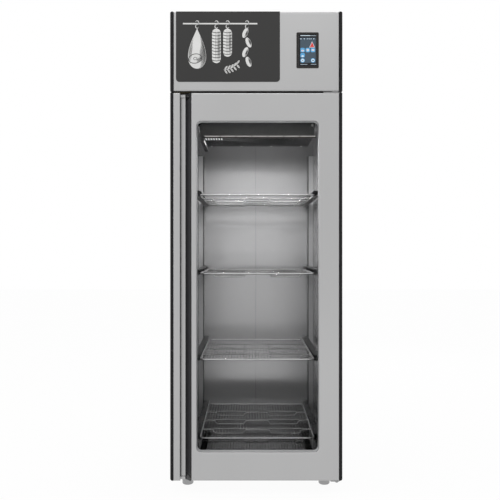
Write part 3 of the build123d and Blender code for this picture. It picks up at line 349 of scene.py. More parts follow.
# %% [markdown]
# ### Zinc-coated sheet
# The back, the base and the cover of the machine compartment aren't stainless on such cabinets but
# zinc-coated sheet, which shows flat crystals a few millimetres wide. A Voronoi texture gives each crystal
# a grey of its own over the layers that the other sheets have.
# %% Zinc sheet
ZINC_CRYSTAL = 6 * mm
CRYSTAL_DARK, CRYSTAL_LIGHT = 0.84, 1.1
zinc_sheet = finish("zinc_sheet", (0.47, 0.485, 0.495), 0.42, 0.9, (700, 700, 700), (3, 3, 3), bump=0.03)
zinc_tree = zinc_sheet.node_tree
zinc_place = put(zinc_tree, "ShaderNodeTexCoord").outputs["Object"]
crystals = put(zinc_tree, "ShaderNodeTexVoronoi", {"Vector": zinc_place, "Scale": 1 / ZINC_CRYSTAL})
crystal_grey = put(zinc_tree, "ShaderNodeRGBToBW", {"Color": crystals.outputs["Color"]})
greys = {"Value": crystal_grey.outputs[0], "From Min": 0.1, "From Max": 0.9}
levels = {"To Min": CRYSTAL_DARK, "To Max": CRYSTAL_LIGHT}
crystal_level = put(zinc_tree, "ShaderNodeMapRange", {**greys, **levels})
zinc_base = zinc_tree.nodes["Principled BSDF"].inputs["Base Color"]
zinc_layers = {0: 1.0, 6: zinc_base.links[0].from_socket, 7: crystal_level.outputs[0]}
zinc_tint = put(zinc_tree, "ShaderNodeMix", zinc_layers, data_type="RGBA", blend_type="MULTIPLY")
zinc_tree.links.new(zinc_tint.outputs[2], zinc_base)
dress(zinc_sheet, "rear_panel", "base_panel", "machine_deck", "condenser_shroud", "foot_sockets")
print("zinc crystals of", ZINC_CRYSTAL / mm, "mm")

# %% [markdown]
# ### Plastics, paint and rubber
# The dark trim is moulded plastic with a fine even grain. Its dents catch the lamps as a soft sheen, which
# is why a black part never renders as a flat black hole. Painted metal is smoother and a little glossier,
# rubber is duller. The housing's paint gets the same painted shade on its underside, where no lamp reaches
# it.
# %% Plastics and rubber
dark_trim = finish("dark_trim", (0.009, 0.009, 0.01), 0.45, colour_spread=0.12, bump=0.1, shine=0.2)
# The handle's slanted profile is painted near black as painted shade of the handle's recess.
channel_trim = finish(
    "channel_trim", (0.022, 0.0215, 0.024), 0.4, grain=(1400, 1400, 30), colour_spread=0.12
)
frame_plastic = finish("frame_plastic", (0.34, 0.345, 0.35), 0.45)
seal_rubber = finish("seal_rubber", (0.03, 0.03, 0.031), 0.68, grain=(500, 500, 500), bump=0.15)
fan_plastic = finish("fan_plastic", (0.02, 0.02, 0.021), 0.4, bump=0.06)
box_plastic = finish("box_plastic", (0.5, 0.51, 0.52), 0.5)
bush_plastic = finish("bush_plastic", (0.7, 0.7, 0.68), 0.45, bump=0.04)
foam_yellow = finish(
    "foam_yellow", (0.72, 0.6, 0.33), 0.9, grain=(260, 260, 260), colour_spread=0.12, bump=0.5, depth=0.001
)
dress(dark_trim, "door_side_strips", "header_side_strips")
dress(channel_trim, "handle_insert")
dress(frame_plastic, "breaker_frame")
dress(seal_rubber, "door_gasket")
dress(box_plastic, "control_box")
dress(bush_plastic, "hinge_bushes")
dress(foam_yellow, "insulation", "door_foam")

# %% Paint and coated metal
spacer_metal = finish("spacer_metal", (0.06, 0.06, 0.062), 0.4, 0.6, bump=0.03)
housing_paint = finish(
    "housing_paint", (0.165, 0.165, 0.163), 0.5, colour_spread=0.05, bump=0.04, shine=0.1
)
motor_paint = finish("motor_paint", (0.05, 0.05, 0.055), 0.45, grain=(400, 400, 400), bump=0.15)
# Painted shade: the underside of the housing's paint is darkened, where no lamp reaches it.
paint_shade_below(housing_paint, -0.95, -0.6)
dress(spacer_metal, "glass_spacer")
dress(motor_paint, "evaporator_fan_motors", "condenser_fan_motor")

# %% [markdown]
# ### Glazing
# The window is two clear panes. A physical glass would block the lamps' direct light from the chamber, so
# the panes are transparent instead and keep a glossy skin that is nothing seen straight on and grows at a
# glancing angle, as Fresnel's law says. Only the alpha reads that angle; the colour stays plain.
# %% Glass
GLASS_GLANCING = 0.5
GLANCE_BLEND = 0.35
WAVES_PER_METRE = 2.5
WAVE_HEIGHT = 1 * mm
pane_glass = bpy.data.materials.new("pane_glass")
pane_glass.use_nodes = True
glass_tree = pane_glass.node_tree
glass_shader = glass_tree.nodes["Principled BSDF"]
glance = put(glass_tree, "ShaderNodeLayerWeight", {"Blend": GLANCE_BLEND}).outputs["Fresnel"]
glass_alpha = put(glass_tree, "ShaderNodeMapRange", {"Value": glance, "To Max": GLASS_GLANCING})
glass_place = put(glass_tree, "ShaderNodeTexCoord").outputs["Object"]
wave_sizes = {"Vector": glass_place, "Scale": WAVES_PER_METRE, "Detail": 1.0}
wave = put(glass_tree, "ShaderNodeTexNoise", wave_sizes).outputs[0]
ripple = put(glass_tree, "ShaderNodeBump", {"Height": wave, "Strength": 0.02, "Distance": WAVE_HEIGHT})
glass_tree.links.new(glass_alpha.outputs[0], glass_shader.inputs["Alpha"])
glass_tree.links.new(ripple.outputs[0], glass_shader.inputs["Normal"])
for socket, value in (("Base Color", (0.03, 0.034, 0.034, 1)), ("Roughness", 0.03), ("IOR", 1.5)):
    glass_shader.inputs[socket].default_value = value
dress(pane_glass, "outer_glass", "inner_glass")
print("the panes' skin grows to", GLASS_GLANCING)

# %% [markdown]
# ### Cooling parts
# The coils are aluminium fins on copper, the compressor is glossy black enamel, and the pipes are copper
# that has darkened in patches. They only show through the grille and the slots, or with the door open. The
# lamp's channel, the guards and the bright knob hang beside them.
# %% Cooling finishes
coil_metal = finish("coil_metal", (0.6, 0.61, 0.62), 0.35, 1.0, (700, 40, 40), colour_spread=0.15, bump=0.2)
compressor_paint = finish("compressor_paint", (0.012, 0.012, 0.013), 0.22, coat=0.4, bump=0.03)
pipe_copper = finish("pipe_copper", (0.6, 0.27, 0.16), 0.3, 1.0, clouds=(40, 40, 40), colour_spread=0.25)
lamp_channel = finish("lamp_channel", (0.045, 0.03, 0.027), 0.45, 0.2, (40, 1500, 1500))
bright_chrome = finish("bright_chrome", (0.75, 0.74, 0.72), 0.14, 1.0, bump=0.02)
# Near-white, mostly diffuse finish of the bright knob: a painted reflection.
knob_nickel = finish("knob_nickel", (0.9, 0.9, 0.88), 0.3, 0.3, bump=0.02)
dress(pipe_copper, "refrigerant_pipes")

# %% [markdown]
# ### Things that shine
# The lamp lenses, the slots' lamp and the signs on the display shine by themselves. Emission is set low
# enough that each keeps the colour it is written in, and a faint cloudiness keeps a lens from looking
# printed.
# %% Glowing finish


def glow_finish(name, colour, strength, roughness=0.35):
    """A surface that shines evenly in one colour, with a faint cloudiness."""
    material = finish(name, colour, roughness, 0, (300, 300, 300), (60, 60, 60), colour_spread=0.05)
    tree = material.node_tree
    shader = tree.nodes["Principled BSDF"]
    tree.links.new(shader.inputs["Base Color"].links[0].from_socket, shader.inputs["Emission Color"])
    shader.inputs["Emission Strength"].default_value = strength
    return material


lamp_lens = glow_finish("lamp_lens", (0.8, 0.77, 0.74), 0.4)
slot_light = glow_finish("slot_light", (0.95, 0.96, 1.0), 0.9)

# %% [markdown]
# ## Tools for the pieces
# Most pieces are folded sheet with rounded corners, and a loft suits them best: it joins rings of points into
# a closed skin. The same loft later makes flat plates and turned pieces, because both are rings too. What
# repeats is made by Geometry Nodes further down. Each finished mesh becomes a piece that rides on a body of
# the CAD model, so that it moves with the door, a shelf or a fan.
# %% Keep and mount a piece


def keep(name, bm, material, smooth_angle=35):
    """Turn a bmesh into an object with outward normals, smooth except at edges sharper than the angle."""
    bmesh.ops.recalc_face_normals(bm, faces=bm.faces)
    mesh = bpy.data.meshes.new(name)
    bm.to_mesh(mesh)
    bm.free()
    mesh.materials.append(material)
    mesh.shade_smooth()
    mesh.set_sharp_from_angle(angle=math.radians(smooth_angle))
    piece = bpy.data.objects.new(name, mesh)
    bpy.context.scene.collection.objects.link(piece)
    return piece


def mount(piece, body, *stands_for, slot=None):
    """Let a piece ride on a CAD body and stand for CAD nodes, and print its size."""
    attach(piece, body)
    if stands_for:
        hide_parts(*stands_for)
    piece.data.calc_loop_triangles()
    print(piece.name, "triangles:", len(piece.data.loop_triangles), "on", body)


# %% Rings and their skin
CORNER_STEPS = 6
LEAST_RADIUS = 0.1 * mm


def skin_rings(bm, rings, closed=False):
    """Join rings of equally many points, given in order, with quads, and cap the two ends."""
    rows = [[bm.verts.new(p) for p in ring] for ring in rings]
    pairs = list(zip(rows, rows[1:]))
    if closed:
        pairs.append((rows[-1], rows[0]))
    for one, two in pairs:
        for i in range(len(one)):
            j = (i + 1) % len(one)
            bm.faces.new((one[i], one[j], two[j], two[i]))
    if not closed:
        bm.faces.new(rows[0])
        bm.faces.new(rows[-1])


def ring(low, high, radius, y, steps=CORNER_STEPS):
    """Points of a rounded rectangle in an upright plane; low and high are (x, z) corners."""
    radius = max(radius, LEAST_RADIUS)
    middles = (
        (high[0] - radius, high[1] - radius, 0),
        (low[0] + radius, high[1] - radius, 90),
        (low[0] + radius, low[1] + radius, 180),
        (high[0] - radius, low[1] + radius, 270),
    )
    points = []
    for x, z, start in middles:
        for i in range(steps + 1):
            angle = math.radians(start + 90 * i / steps)
            points.append((x + radius * math.cos(angle), y, z + radius * math.sin(angle)))
    return points


def grown(low, high, radius, by, y):
    """The same ring, grown outwards by a margin that also widens its corners."""
    return ring((low[0] - by, low[1] - by), (high[0] + by, high[1] + by), radius + by, y)


print("a square's ring has", len(ring((0, 0), (1, 1), 0, 0)), "points")

# %% [markdown]
# ## Door skin and window reveal
# The door's front is one sheet, folded back at its outer edge and again round the window, so no raw edge
# shows. The fold round the window is what draws the lighter line there. Lofting rings from the back edge,
# over the front and into the window gives both folds as true quarter circles. The reveal goes on from the
# fold to the glass and turns out under it.
# %% Place of the window
PANE_OVERLAP = 22 * mm
PANE_FOOT_OVERLAP = 24 * mm
PANE_TOP_OVERLAP = 25.5 * mm
skin_low, skin_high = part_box("door_skin")
glass_low, glass_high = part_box("outer_glass")
window_low = (glass_low.x + PANE_OVERLAP, glass_low.z + PANE_FOOT_OVERLAP)
window_high = (glass_high.x - PANE_OVERLAP, glass_high.z - PANE_TOP_OVERLAP)
print("window from", window_low, "to", window_high)

# %% One side of a folded tray
SHEET = 1.2 * mm
FLAT_HOLD = 1 * mm
FOLD_STEPS = 6
quarter = [math.radians(90 * i / FOLD_STEPS) for i in range(FOLD_STEPS + 1)]


def tray_side(low, high, front, back, fold, inset):
    """Rings of a tray of folded sheet: from its back edge round the fold to just inside its flat front."""
    corner_low, corner_high = (low[0] + inset, low[1] + inset), (high[0] - inset, high[1] - inset)
    bend = fold - inset
    rings = [ring(corner_low, corner_high, 0, back)]
    for a in quarter:
        depth = front + inset + bend * (1 - math.sin(a))
        rings.append(grown(corner_low, corner_high, 0, bend * (math.cos(a) - 1), depth))
    rings.append(grown(corner_low, corner_high, 0, -bend - FLAT_HOLD, front + inset))
    return rings


print("a fold has", len(quarter), "rings")

# %% Door skin
EDGE_FOLD = 6.5 * mm
WINDOW_FOLD = 5 * mm
WINDOW_CORNER = 20 * mm
window = window_low, window_high, WINDOW_CORNER


def door_side(inset):
    """Rings of one side of the door skin: the outer tray, then the fold into the window."""
    door = (skin_low.x, skin_low.z), (skin_high.x, skin_high.z)
    rings = tray_side(*door, skin_low.y, skin_high.y, EDGE_FOLD, inset)
    face, bend = skin_low.y + inset, WINDOW_FOLD - inset
    rings.append(grown(*window, WINDOW_FOLD + FLAT_HOLD, face))
    for a in quarter:
        rings.append(grown(*window, WINDOW_FOLD - bend * math.sin(a), face + bend * (1 - math.cos(a))))
    return rings


bm = bmesh.new()
skin_rings(bm, door_side(0) + door_side(SHEET)[::-1], closed=True)
mount(keep("door_sheet", bm, satin_steel), "door", "door_skin", slot="steel")

# %% Window reveal
REVEAL_FOLD = 3 * mm
REVEAL_STEP = 0.2 * mm
glass_face = glass_low.y
wall_front = skin_low.y + WINDOW_FOLD
reveal_path = [(REVEAL_STEP, wall_front)]
for a in quarter:
    outward = REVEAL_STEP + REVEAL_FOLD * (1 - math.cos(a))
    reveal_path.append((outward, glass_face - REVEAL_FOLD * (1 - math.sin(a))))
reveal_path += [(PANE_OVERLAP, glass_face), (PANE_OVERLAP, glass_face - SHEET)]
reveal_path += [(REVEAL_FOLD + SHEET, glass_face - SHEET), (SHEET, glass_face - REVEAL_FOLD)]
reveal_path.append((SHEET, wall_front))
bm = bmesh.new()
skin_rings(bm, [grown(*window, by, y) for by, y in reveal_path], closed=True)
mount(keep("reveal_sleeve", bm, reveal_steel), "door", "window_reveal", slot="steel")

# %% [markdown]
# ## Header
# The header over the door is the same kind of tray as the door's front, only without a window. Its two sides
# are joined at the back edge and closed in front, so one loft makes the whole tray. It carries the printed
# panel and the controller.
# %% Header sheet
head_low, head_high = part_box("header_panel")


def folded_tray(low, high, front, back, fold):
    """A tray of folded sheet with a flat front, open at its back."""
    outside, inside = (tray_side(low, high, front, back, fold, inset) for inset in (0, SHEET))
    bm = bmesh.new()
    skin_rings(bm, inside[::-1] + outside)
    return bm


head_corners = (head_low.x, head_low.z), (head_high.x, head_high.z)
header = folded_tray(*head_corners, head_low.y, head_high.y, EDGE_FOLD)
mount(keep("header_sheet", header, satin_steel), "root", "header_panel", slot="steel")

# %% [markdown]
# ## Handle
# The handle is a folded grip along the door's whole left edge. Fingers go round its free edge into a shallow
# channel, whose far side is a dark slanted profile. The grip is lofted with rounded edges, as the door sheet
# is. The channel's floor, its slot and the small folded tabs at both ends are flat bits of sheet behind it.
# %% Grip
GRIP_WIDTH = 31.2 * mm
GRIP_LIP = 12 * mm
GRIP_FOLD = 5.5 * mm
grip_low, grip_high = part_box("door_grip")
grip_right = grip_low.x + GRIP_WIDTH
lip_back = grip_low.y + GRIP_LIP
grip_corners = (grip_low.x, grip_low.z), (grip_right, grip_high.z)
grip = folded_tray(*grip_corners, grip_low.y, lip_back, GRIP_FOLD)
print("grip from", grip_low.x, "to", grip_right)

# %% Channel behind the grip
SLOT_HALF = 2 * mm
TAB_HEIGHT = 12 * mm
TAB_REACH = 5 * mm
CHANNEL_DROP = 4 * mm
channel_front = grip_high.y - SHEET
channel_top = grip_high.z - CHANNEL_DROP
slot_left, slot_right = grip_right - SLOT_HALF, grip_right + SLOT_HALF


def add_block(bm, low, high):
    """Add a plain closed block, as one bit of a larger piece."""
    xs, ys, zs = zip(low, high)
    v = [bm.verts.new((x, y, z)) for z in zs for y in ys for x in xs]
    for f in ((0, 2, 3, 1), (4, 5, 7, 6), (0, 1, 5, 4), (2, 6, 7, 3), (0, 4, 6, 2), (1, 3, 7, 5)):
        bm.faces.new([v[i] for i in f])


add_block(grip, (grip_low.x, lip_back, grip_low.z), (grip_low.x + SHEET, grip_high.y, grip_high.z))
add_block(grip, (grip_low.x, channel_front, grip_low.z), (slot_left, grip_high.y, channel_top))
add_block(grip, (slot_right, channel_front, grip_low.z), (grip_high.x, grip_high.y, channel_top))
for low_z in (grip_low.z, channel_top - TAB_HEIGHT):
    tab_low = (slot_left, channel_front - TAB_REACH, low_z)
    add_block(grip, tab_low, (grip_high.x, channel_front, low_z + TAB_HEIGHT))
mount(keep("grip_and_channel", grip, satin_steel), "door", "door_grip", slot="steel")

# %% [markdown]
# ### End pieces of the slanted profile
# The slanted profile keeps its CAD solid. Its two ends are closed by glossy dark caps, each cut off at a
# slant. A cap is a thin block along the profile, so its outline is worked out from the profile's own foot
# and head.
# %% Profile caps
CAP_HEIGHT = 30 * mm
CAP_SHORT_SHARE = 0.7
CAP_STEP = 1.2 * mm
CAP_FOOT_GAP = 2 * mm
CAP_HEAD_GAP = 3 * mm
insert_low, insert_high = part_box("handle_insert")
cap_paint = finish("cap_paint", (0.008, 0.008, 0.009), 0.2, coat=0.3, bump=0.04)
slant_foot = Vector((grip_high.x, channel_front))
slant_head = Vector((insert_high.x, insert_low.y))
slant_run = (slant_head - slant_foot).normalized()
slant_out = Vector((slant_run.y, -slant_run.x)) * CAP_STEP
print("slant from", slant_foot, "to", slant_head)
cap_foot, cap_head = slant_foot + slant_run * CAP_FOOT_GAP, slant_head - slant_run * CAP_HEAD_GAP
section = [cap_foot - slant_out, cap_foot + slant_out, cap_head + slant_out, cap_head - slant_out]
reaches = [CAP_HEIGHT, CAP_HEIGHT, CAP_HEIGHT * CAP_SHORT_SHARE, CAP_HEIGHT * CAP_SHORT_SHARE]
bm = bmesh.new()
for z, way in ((insert_high.z, -1), (insert_low.z, 1)):
    flat_end = [(p.x, p.y, z) for p in section]
    slanted_end = [(p.x, p.y, z + way * reach) for p, reach in zip(section, reaches)]
    skin_rings(bm, [flat_end, slanted_end])
mount(keep("profile_caps", bm, cap_paint), "door")

# %% [markdown]
# ## Printed panel
# A dark film is stuck to the header and printed in white line work with a ham, two salamis and a chain of
# links that hang from a rail over a sprig. Each figure is a thin white plate with finer dark strokes over it,
# which gives the look of a print from a plate and stays sharp at any distance. Formulas draw the outlines: a
# teardrop for the ham, stadiums for the salamis, ellipses for the links and the leaves.
# %% Film
FILM_DROP = 0.4 * mm
FILM_CORNER = 15 * mm
FILM_STEPS = 8
film_low, film_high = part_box("graphic_panel")
film_front = film_low.y + FILM_DROP
film_black = finish("film_black", (0.034, 0.0335, 0.033), 0.5, grain=(700, 700, 700), bump=0.05, shine=0.25)


def plate(bm, points, front, thickness):
    """Add a flat closed outline of (x, z) points with its front at the given depth."""
    skin_rings(bm, [[(x, y, z) for x, z in points] for y in (front, front + thickness)])


film_points = [(film_high.x, film_high.z), (film_low.x, film_high.z)]
for x, start in ((film_low.x + FILM_CORNER, 180), (film_high.x - FILM_CORNER, 270)):
    for i in range(FILM_STEPS + 1):
        angle = math.radians(start + 90 * i / FILM_STEPS)
        z = film_low.z + FILM_CORNER * (1 + math.sin(angle))
        film_points.append((x + FILM_CORNER * math.cos(angle), z))
bm = bmesh.new()
plate(bm, film_points, film_front, film_high.y - film_front)
mount(keep("printed_film", bm, film_black), "root", "graphic_panel", slot="overlay_film")

# %% Ink
INK_STEP = 0.15 * mm
SINK_SHARE = 1.2
INK_THICKNESS = SINK_SHARE * INK_STEP
THIN_END_SHARE = 0.15
SWELL = 0.6
ink_white = finish("ink_white", (0.7, 0.7, 0.69), 0.55, grain=(900, 900, 200), colour_spread=0.12, bump=0.05)
ink_dark = finish("ink_dark", (0.06, 0.06, 0.058), 0.55, grain=(900, 900, 900), colour_spread=0.1)
white_ink, dark_ink = bmesh.new(), bmesh.new()
white_front = film_front - INK_STEP
dark_front = white_front - INK_STEP


def stroke(bm, points, width, front, taper=True):
    """Add a line of ink along (x, z) points that thins out to both ends."""
    rows = []
    last = len(points) - 1
    depths = (front, front, front + INK_THICKNESS, front + INK_THICKNESS)
    for i, (x, z) in enumerate(points):
        ahead, behind = points[min(i + 1, last)], points[max(i - 1, 0)]
        along = Vector((ahead[0] - behind[0], ahead[1] - behind[1])).normalized()
        swell = max(THIN_END_SHARE, math.sin(math.pi * i / last) ** SWELL) if taper else 1
        across = Vector((-along.y, along.x)) * width / 2 * swell
        one, two = Vector((x, z)) + across, Vector((x, z)) - across
        rows.append([(p.x, y, p.y) for p, y in zip((one, two, two, one), depths)])
    skin_rings(bm, rows)


print("ink lies", INK_STEP / mm, "mm over the film")

# %% Rail and hooks
PICTURE_SHIFT = 34 * mm
RAIL_HALF = 162 * mm
RAIL_LIFT = 100 * mm
RAIL_LINE = 6 * mm
HOOK_LINE = 3.2 * mm
# Width, height and lift of each bend of a hook, and the stretch of the ellipse that it follows.
HOOK_BENDS = ((15 * mm, 17 * mm, 4 * mm, -0.25, 0.45), (13 * mm, 16 * mm, -12 * mm, 0.25, 0.95))
hook_shares = {"ham": -0.62, "long_salami": -0.1, "short_salami": 0.2, "links": 0.72}
middle_x = (film_low.x + film_high.x) / 2 - PICTURE_SHIFT
middle_z = (film_low.z + film_high.z) / 2
rail_z = middle_z + RAIL_LIFT
hook_places = {name: middle_x + RAIL_HALF * share for name, share in hook_shares.items()}


def oval(centre, width, height, turn=0.0, start=0.0, end=1.0, inset=1.0, count=36):
    """Points of a turned ellipse, or of a stretch of it."""
    points = []
    c, s = math.cos(math.radians(turn)), math.sin(math.radians(turn))
    for i in range(count + 1):
        t = math.tau * (start + (end - start) * i / count)
        x, z = width / 2 * inset * math.cos(t), height / 2 * inset * math.sin(t)
        points.append((centre[0] + x * c - z * s, centre[1] + x * s + z * c))
    return points


rail_ends = [(middle_x - RAIL_HALF, rail_z), (middle_x + RAIL_HALF, rail_z)]
stroke(white_ink, rail_ends, RAIL_LINE, white_front, taper=False)
for x in hook_places.values():
    for wide, high, lift, start, end in HOOK_BENDS:
        stroke(white_ink, oval((x, rail_z + lift), wide, high, 0, start, end), HOOK_LINE, white_front)
print("rail at a height of", rail_z, "with", len(hook_places), "hooks")

# %% Ham
HAM_WIDTH, HAM_HEIGHT = 108 * mm, 176 * mm
HAM_DROP = 8 * mm
NARROWING = 1.3
HEIGHT_INSET_SHARE = 0.35
# Number of lines, start, end and inset of the first, their change per line, its width and the thinning.
MUSCLE_LINES = (9, (0.14, 0.47, 0.93), (0.015, -0.012, -0.075), 2.8 * mm, 0.15 * mm)
BACK_LINES = (4, (0.6, 0.84, 0.9), (0.02, -0.02, -0.09), 2 * mm, 0)
ham = (hook_places["ham"], middle_z - HAM_DROP)


def ham_line(start=0.0, end=1.0, inset=1.0, count=48):
    """Points of the ham's teardrop, or of a stretch of it, drawn inwards by a factor."""
    points = []
    for i in range(count + 1):
        t = math.tau * (start + (end - start) * i / count)
        x = HAM_WIDTH / 2 * math.sin(t) * abs(math.sin(t / 2)) ** NARROWING * inset
        z = HAM_HEIGHT / 2 * math.cos(t) * (1 - HEIGHT_INSET_SHARE * (1 - inset))
        points.append((ham[0] + x, ham[1] + z))
    return points


plate(white_ink, ham_line()[1:-1], white_front, INK_THICKNESS)
for count, first, change, width, thinning in (MUSCLE_LINES, BACK_LINES):
    for i in range(count):
        stretch = [share + i * step for share, step in zip(first, change)]
        stroke(dark_ink, ham_line(*stretch), width - thinning * i, dark_front)
print("ham of", HAM_WIDTH / mm, "by", HAM_HEIGHT / mm, "mm")

# %% Cut face of the ham
CUT_SHIFT, CUT_DROP = 8 * mm, 44 * mm
CUT_WIDTH, CUT_HEIGHT, CUT_TURN = 58 * mm, 40 * mm, 12
BONE_WIDTH, BONE_HEIGHT = 15 * mm, 11 * mm
CUT_LINE, BONE_LINE, CUT_SHADE_LINE = 3.2 * mm, 2 * mm, 1.8 * mm
SHADE_LINES = 5
SHADE_START, SHADE_END = 0.78, 1.02
SHADE_INSET, SHADE_INSET_STEP = 0.86, 0.11
cut_middle = (ham[0] - CUT_SHIFT, ham[1] - CUT_DROP)
cut_rim = cut_middle, CUT_WIDTH, CUT_HEIGHT, CUT_TURN
bone_rim = cut_middle, BONE_WIDTH, BONE_HEIGHT, CUT_TURN
stroke(dark_ink, oval(*cut_rim), CUT_LINE, dark_front, taper=False)
stroke(dark_ink, oval(*bone_rim), BONE_LINE, dark_front, taper=False)
for i in range(SHADE_LINES):
    shade = oval(*cut_rim, SHADE_START, SHADE_END, SHADE_INSET - SHADE_INSET_STEP * i)
    stroke(dark_ink, shade, CUT_SHADE_LINE, dark_front)
print("cut face at", cut_middle)

# %% Two salamis in netting
SALAMI_WIDTH = 38 * mm
SALAMI_DROP = 22 * mm
NET_STEP = 15 * mm
NET_SAG = 4 * mm
NET_LINE = 3 * mm
NET_END_SHARE, NET_HALF_SHARE = 0.36, 0.49
SHADE_LINE = 2 * mm
SHADE_END_SHARE, SHADE_CURVE_SHARE = 0.12, 0.5
SHADE_SHARES = (-0.06, 0.16, 0.24, 0.32, 0.4)
even_steps = [k / 6 for k in range(-6, 7)]


def stadium(centre, width, height, count=14):
    """Points of an upright sausage with round ends."""
    points = []
    straight = height / 2 - width / 2
    for way in (1, -1):
        for i in range(count + 1):
            t = math.pi * i / count
            x, z = width / 2 * math.cos(t), straight + width / 2 * math.sin(t)
            points.append((centre[0] + way * x, centre[1] + way * z))
    return points


for name, height in (("long_salami", 150 * mm), ("short_salami", 122 * mm)):
    x, z = hook_places[name], rail_z - SALAMI_DROP - height / 2
    plate(white_ink, stadium((x, z), SALAMI_WIDTH, height), white_front, INK_THICKNESS)
    bands = int(height / NET_STEP)
    for i in range(bands):
        band_z = z + (height / 2 - SALAMI_WIDTH * NET_END_SHARE) * (1 - 2 * i / (bands - 1))
        sag = [(x + SALAMI_WIDTH * NET_HALF_SHARE * u, band_z - NET_SAG * (1 - u * u)) for u in even_steps]
        stroke(dark_ink, sag, NET_LINE, dark_front, taper=False)
    for share in SHADE_SHARES:
        reach = height / 2 - SALAMI_WIDTH * (SHADE_END_SHARE + abs(share) * SHADE_CURVE_SHARE)
        shade = [(x + SALAMI_WIDTH * share, z + reach * u) for u in even_steps]
        stroke(dark_ink, shade, SHADE_LINE, dark_front)
    print(name, "with", bands, "bands")

# %% Chain of links
LINK_LONG, LINK_WIDE = 46 * mm, 22 * mm
LINK_SHIFT, LINK_DROP, LINK_PITCH = 7 * mm, 40 * mm, 42 * mm
LINK_TURNS = (68, 112, 68, 110)
LINK_STRETCH = (0.55, 0.95)
LINK_INSETS = [0.84 - 0.17 * k for k in range(4)]
for i, turn in enumerate(LINK_TURNS):
    side = -1 if i % 2 == 0 else 1
    link_middle = (hook_places["links"] + side * LINK_SHIFT, rail_z - LINK_DROP - LINK_PITCH * i)
    link = link_middle, LINK_LONG, LINK_WIDE, turn
    plate(white_ink, oval(*link)[:-1], white_front, INK_THICKNESS)
    for inset in LINK_INSETS:
        stroke(dark_ink, oval(*link, *LINK_STRETCH, inset), SHADE_LINE, dark_front)
print("links:", len(LINK_TURNS))

# %% Sprig
LEAF_LONG, LEAF_WIDE, LEAF_TURN = 19 * mm, 7 * mm, 52
LEAF_AHEAD, LEAF_ASIDE = 5 * mm, 9 * mm
VEIN_LONG, VEIN_BEND = 15 * mm, 0.8 * mm
STALK_START, STALK_DROP = 14 * mm, 101 * mm
STALK_PITCH, STALK_BEND = 6.6 * mm, 0.3 * mm
STALK_LINE, VEIN_LINE = 2.4 * mm, 1.4 * mm
stalk = [
    (middle_x + STALK_START + STALK_PITCH * t, middle_z - STALK_DROP + STALK_BEND * t * t) for t in range(11)
]
stroke(white_ink, stalk, STALK_LINE, white_front)
for x, z in stalk[1:10:2]:
    for side in (1, -1):
        leaf = (x + LEAF_AHEAD, z + side * LEAF_ASIDE)
        plate(white_ink, oval(leaf, LEAF_LONG, LEAF_WIDE, side * LEAF_TURN)[:-1], white_front, INK_THICKNESS)
        vein = oval(leaf, VEIN_LONG, VEIN_BEND, side * LEAF_TURN, 0.02, 0.48)
        stroke(dark_ink, vein, VEIN_LINE, dark_front)
mount(keep("picture_white", white_ink, ink_white), "root")
mount(keep("picture_lines", dark_ink, ink_dark), "root")

# %% [markdown]
# ## Display
# The controller is a tall touch screen behind dark glass. Its dusky blue field, its tiles and its round keys
# are lit areas under that glass, so each is a thin plate with a glowing finish, a hair over the screen. Slim
# bars finish the display at its head and at its foot.
# %% Screen glass
screen_low, screen_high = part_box("controller_screen")
screen_black = finish("screen_black", (0.014, 0.015, 0.018), 0.12, grain=(40, 40, 40), bump=0.0, shine=0.2)
bezel_black = finish("bezel_black", (0.014, 0.0125, 0.0115), 0.35, colour_spread=0.1, bump=0.06, shine=0.3)
dress(screen_black, "controller_screen")
dress(bezel_black, "controller_bezel")
print("screen from", screen_low, "to", screen_high)

# %% Lit field
FIELD_STEP = 0.07 * mm
FIELD_BAND = 14 * mm
FIELD_LEFT, FIELD_RIGHT = 7 * mm, 3.5 * mm
FIELD_CORNER = 1.5 * mm
field_blue = glow_finish("field_blue", (0.029, 0.049, 0.07), 0.5, 0.12)
field_low = (screen_low.x + FIELD_LEFT, screen_low.z + FIELD_BAND)
field_high = (screen_high.x - FIELD_RIGHT, screen_high.z - FIELD_BAND)


def flat_ring(low, high, radius):
    """The (x, z) points of a rounded rectangle."""
    return [(x, z) for x, y, z in ring(low, high, radius, 0)]


field = bmesh.new()
field_front = screen_low.y - FIELD_STEP
plate(field, flat_ring(field_low, field_high, FIELD_CORNER), field_front, SINK_SHARE * FIELD_STEP)
mount(keep("display_field", field, field_blue), "root")

# %% Layers of the signs
SIGN_STEP = 0.15 * mm
sign_colours = {
    "display_tiles": ("tile_blue", (0.07, 0.27, 0.5)),
    "display_marks": ("mark_white", (0.5, 0.6, 0.68)),
    "display_warning": ("warning_red", (0.5, 0.035, 0.03)),
    "tile_centres": ("centre_rose", (0.6, 0.3, 0.25)),
    "key_centres": ("centre_blue", (0.012, 0.07, 0.13)),
}
signs = {name: bmesh.new() for name in sign_colours}


def sign(name, points, layer):
    """Add an outline to one of the pieces, that many steps over the screen."""
    plate(signs[name], points, screen_low.y - layer * SIGN_STEP, SINK_SHARE * SIGN_STEP)


print("sign pieces:", list(signs))

# %% Tiles and round keys
TILE = 19 * mm
TILE_PITCH = 22.5 * mm
TILE_CORNER = 5 * mm
TILE_LEFT, TILE_TOP = 17.5 * mm, 69.5 * mm
KEY_MARK_SHARE = 0.75
CENTRE_WIDE, CENTRE_HIGH = 5.5 * mm, 4 * mm
# Column and row of a tile, and its mark's width, height and drop in millimetres.
TILE_MARKS = ((0, 0, 12, 8, 2.5), (1, 0, 11, 11, 0), (2, 0, 13, 9, 0), (0, 1, 11, 8, 4))
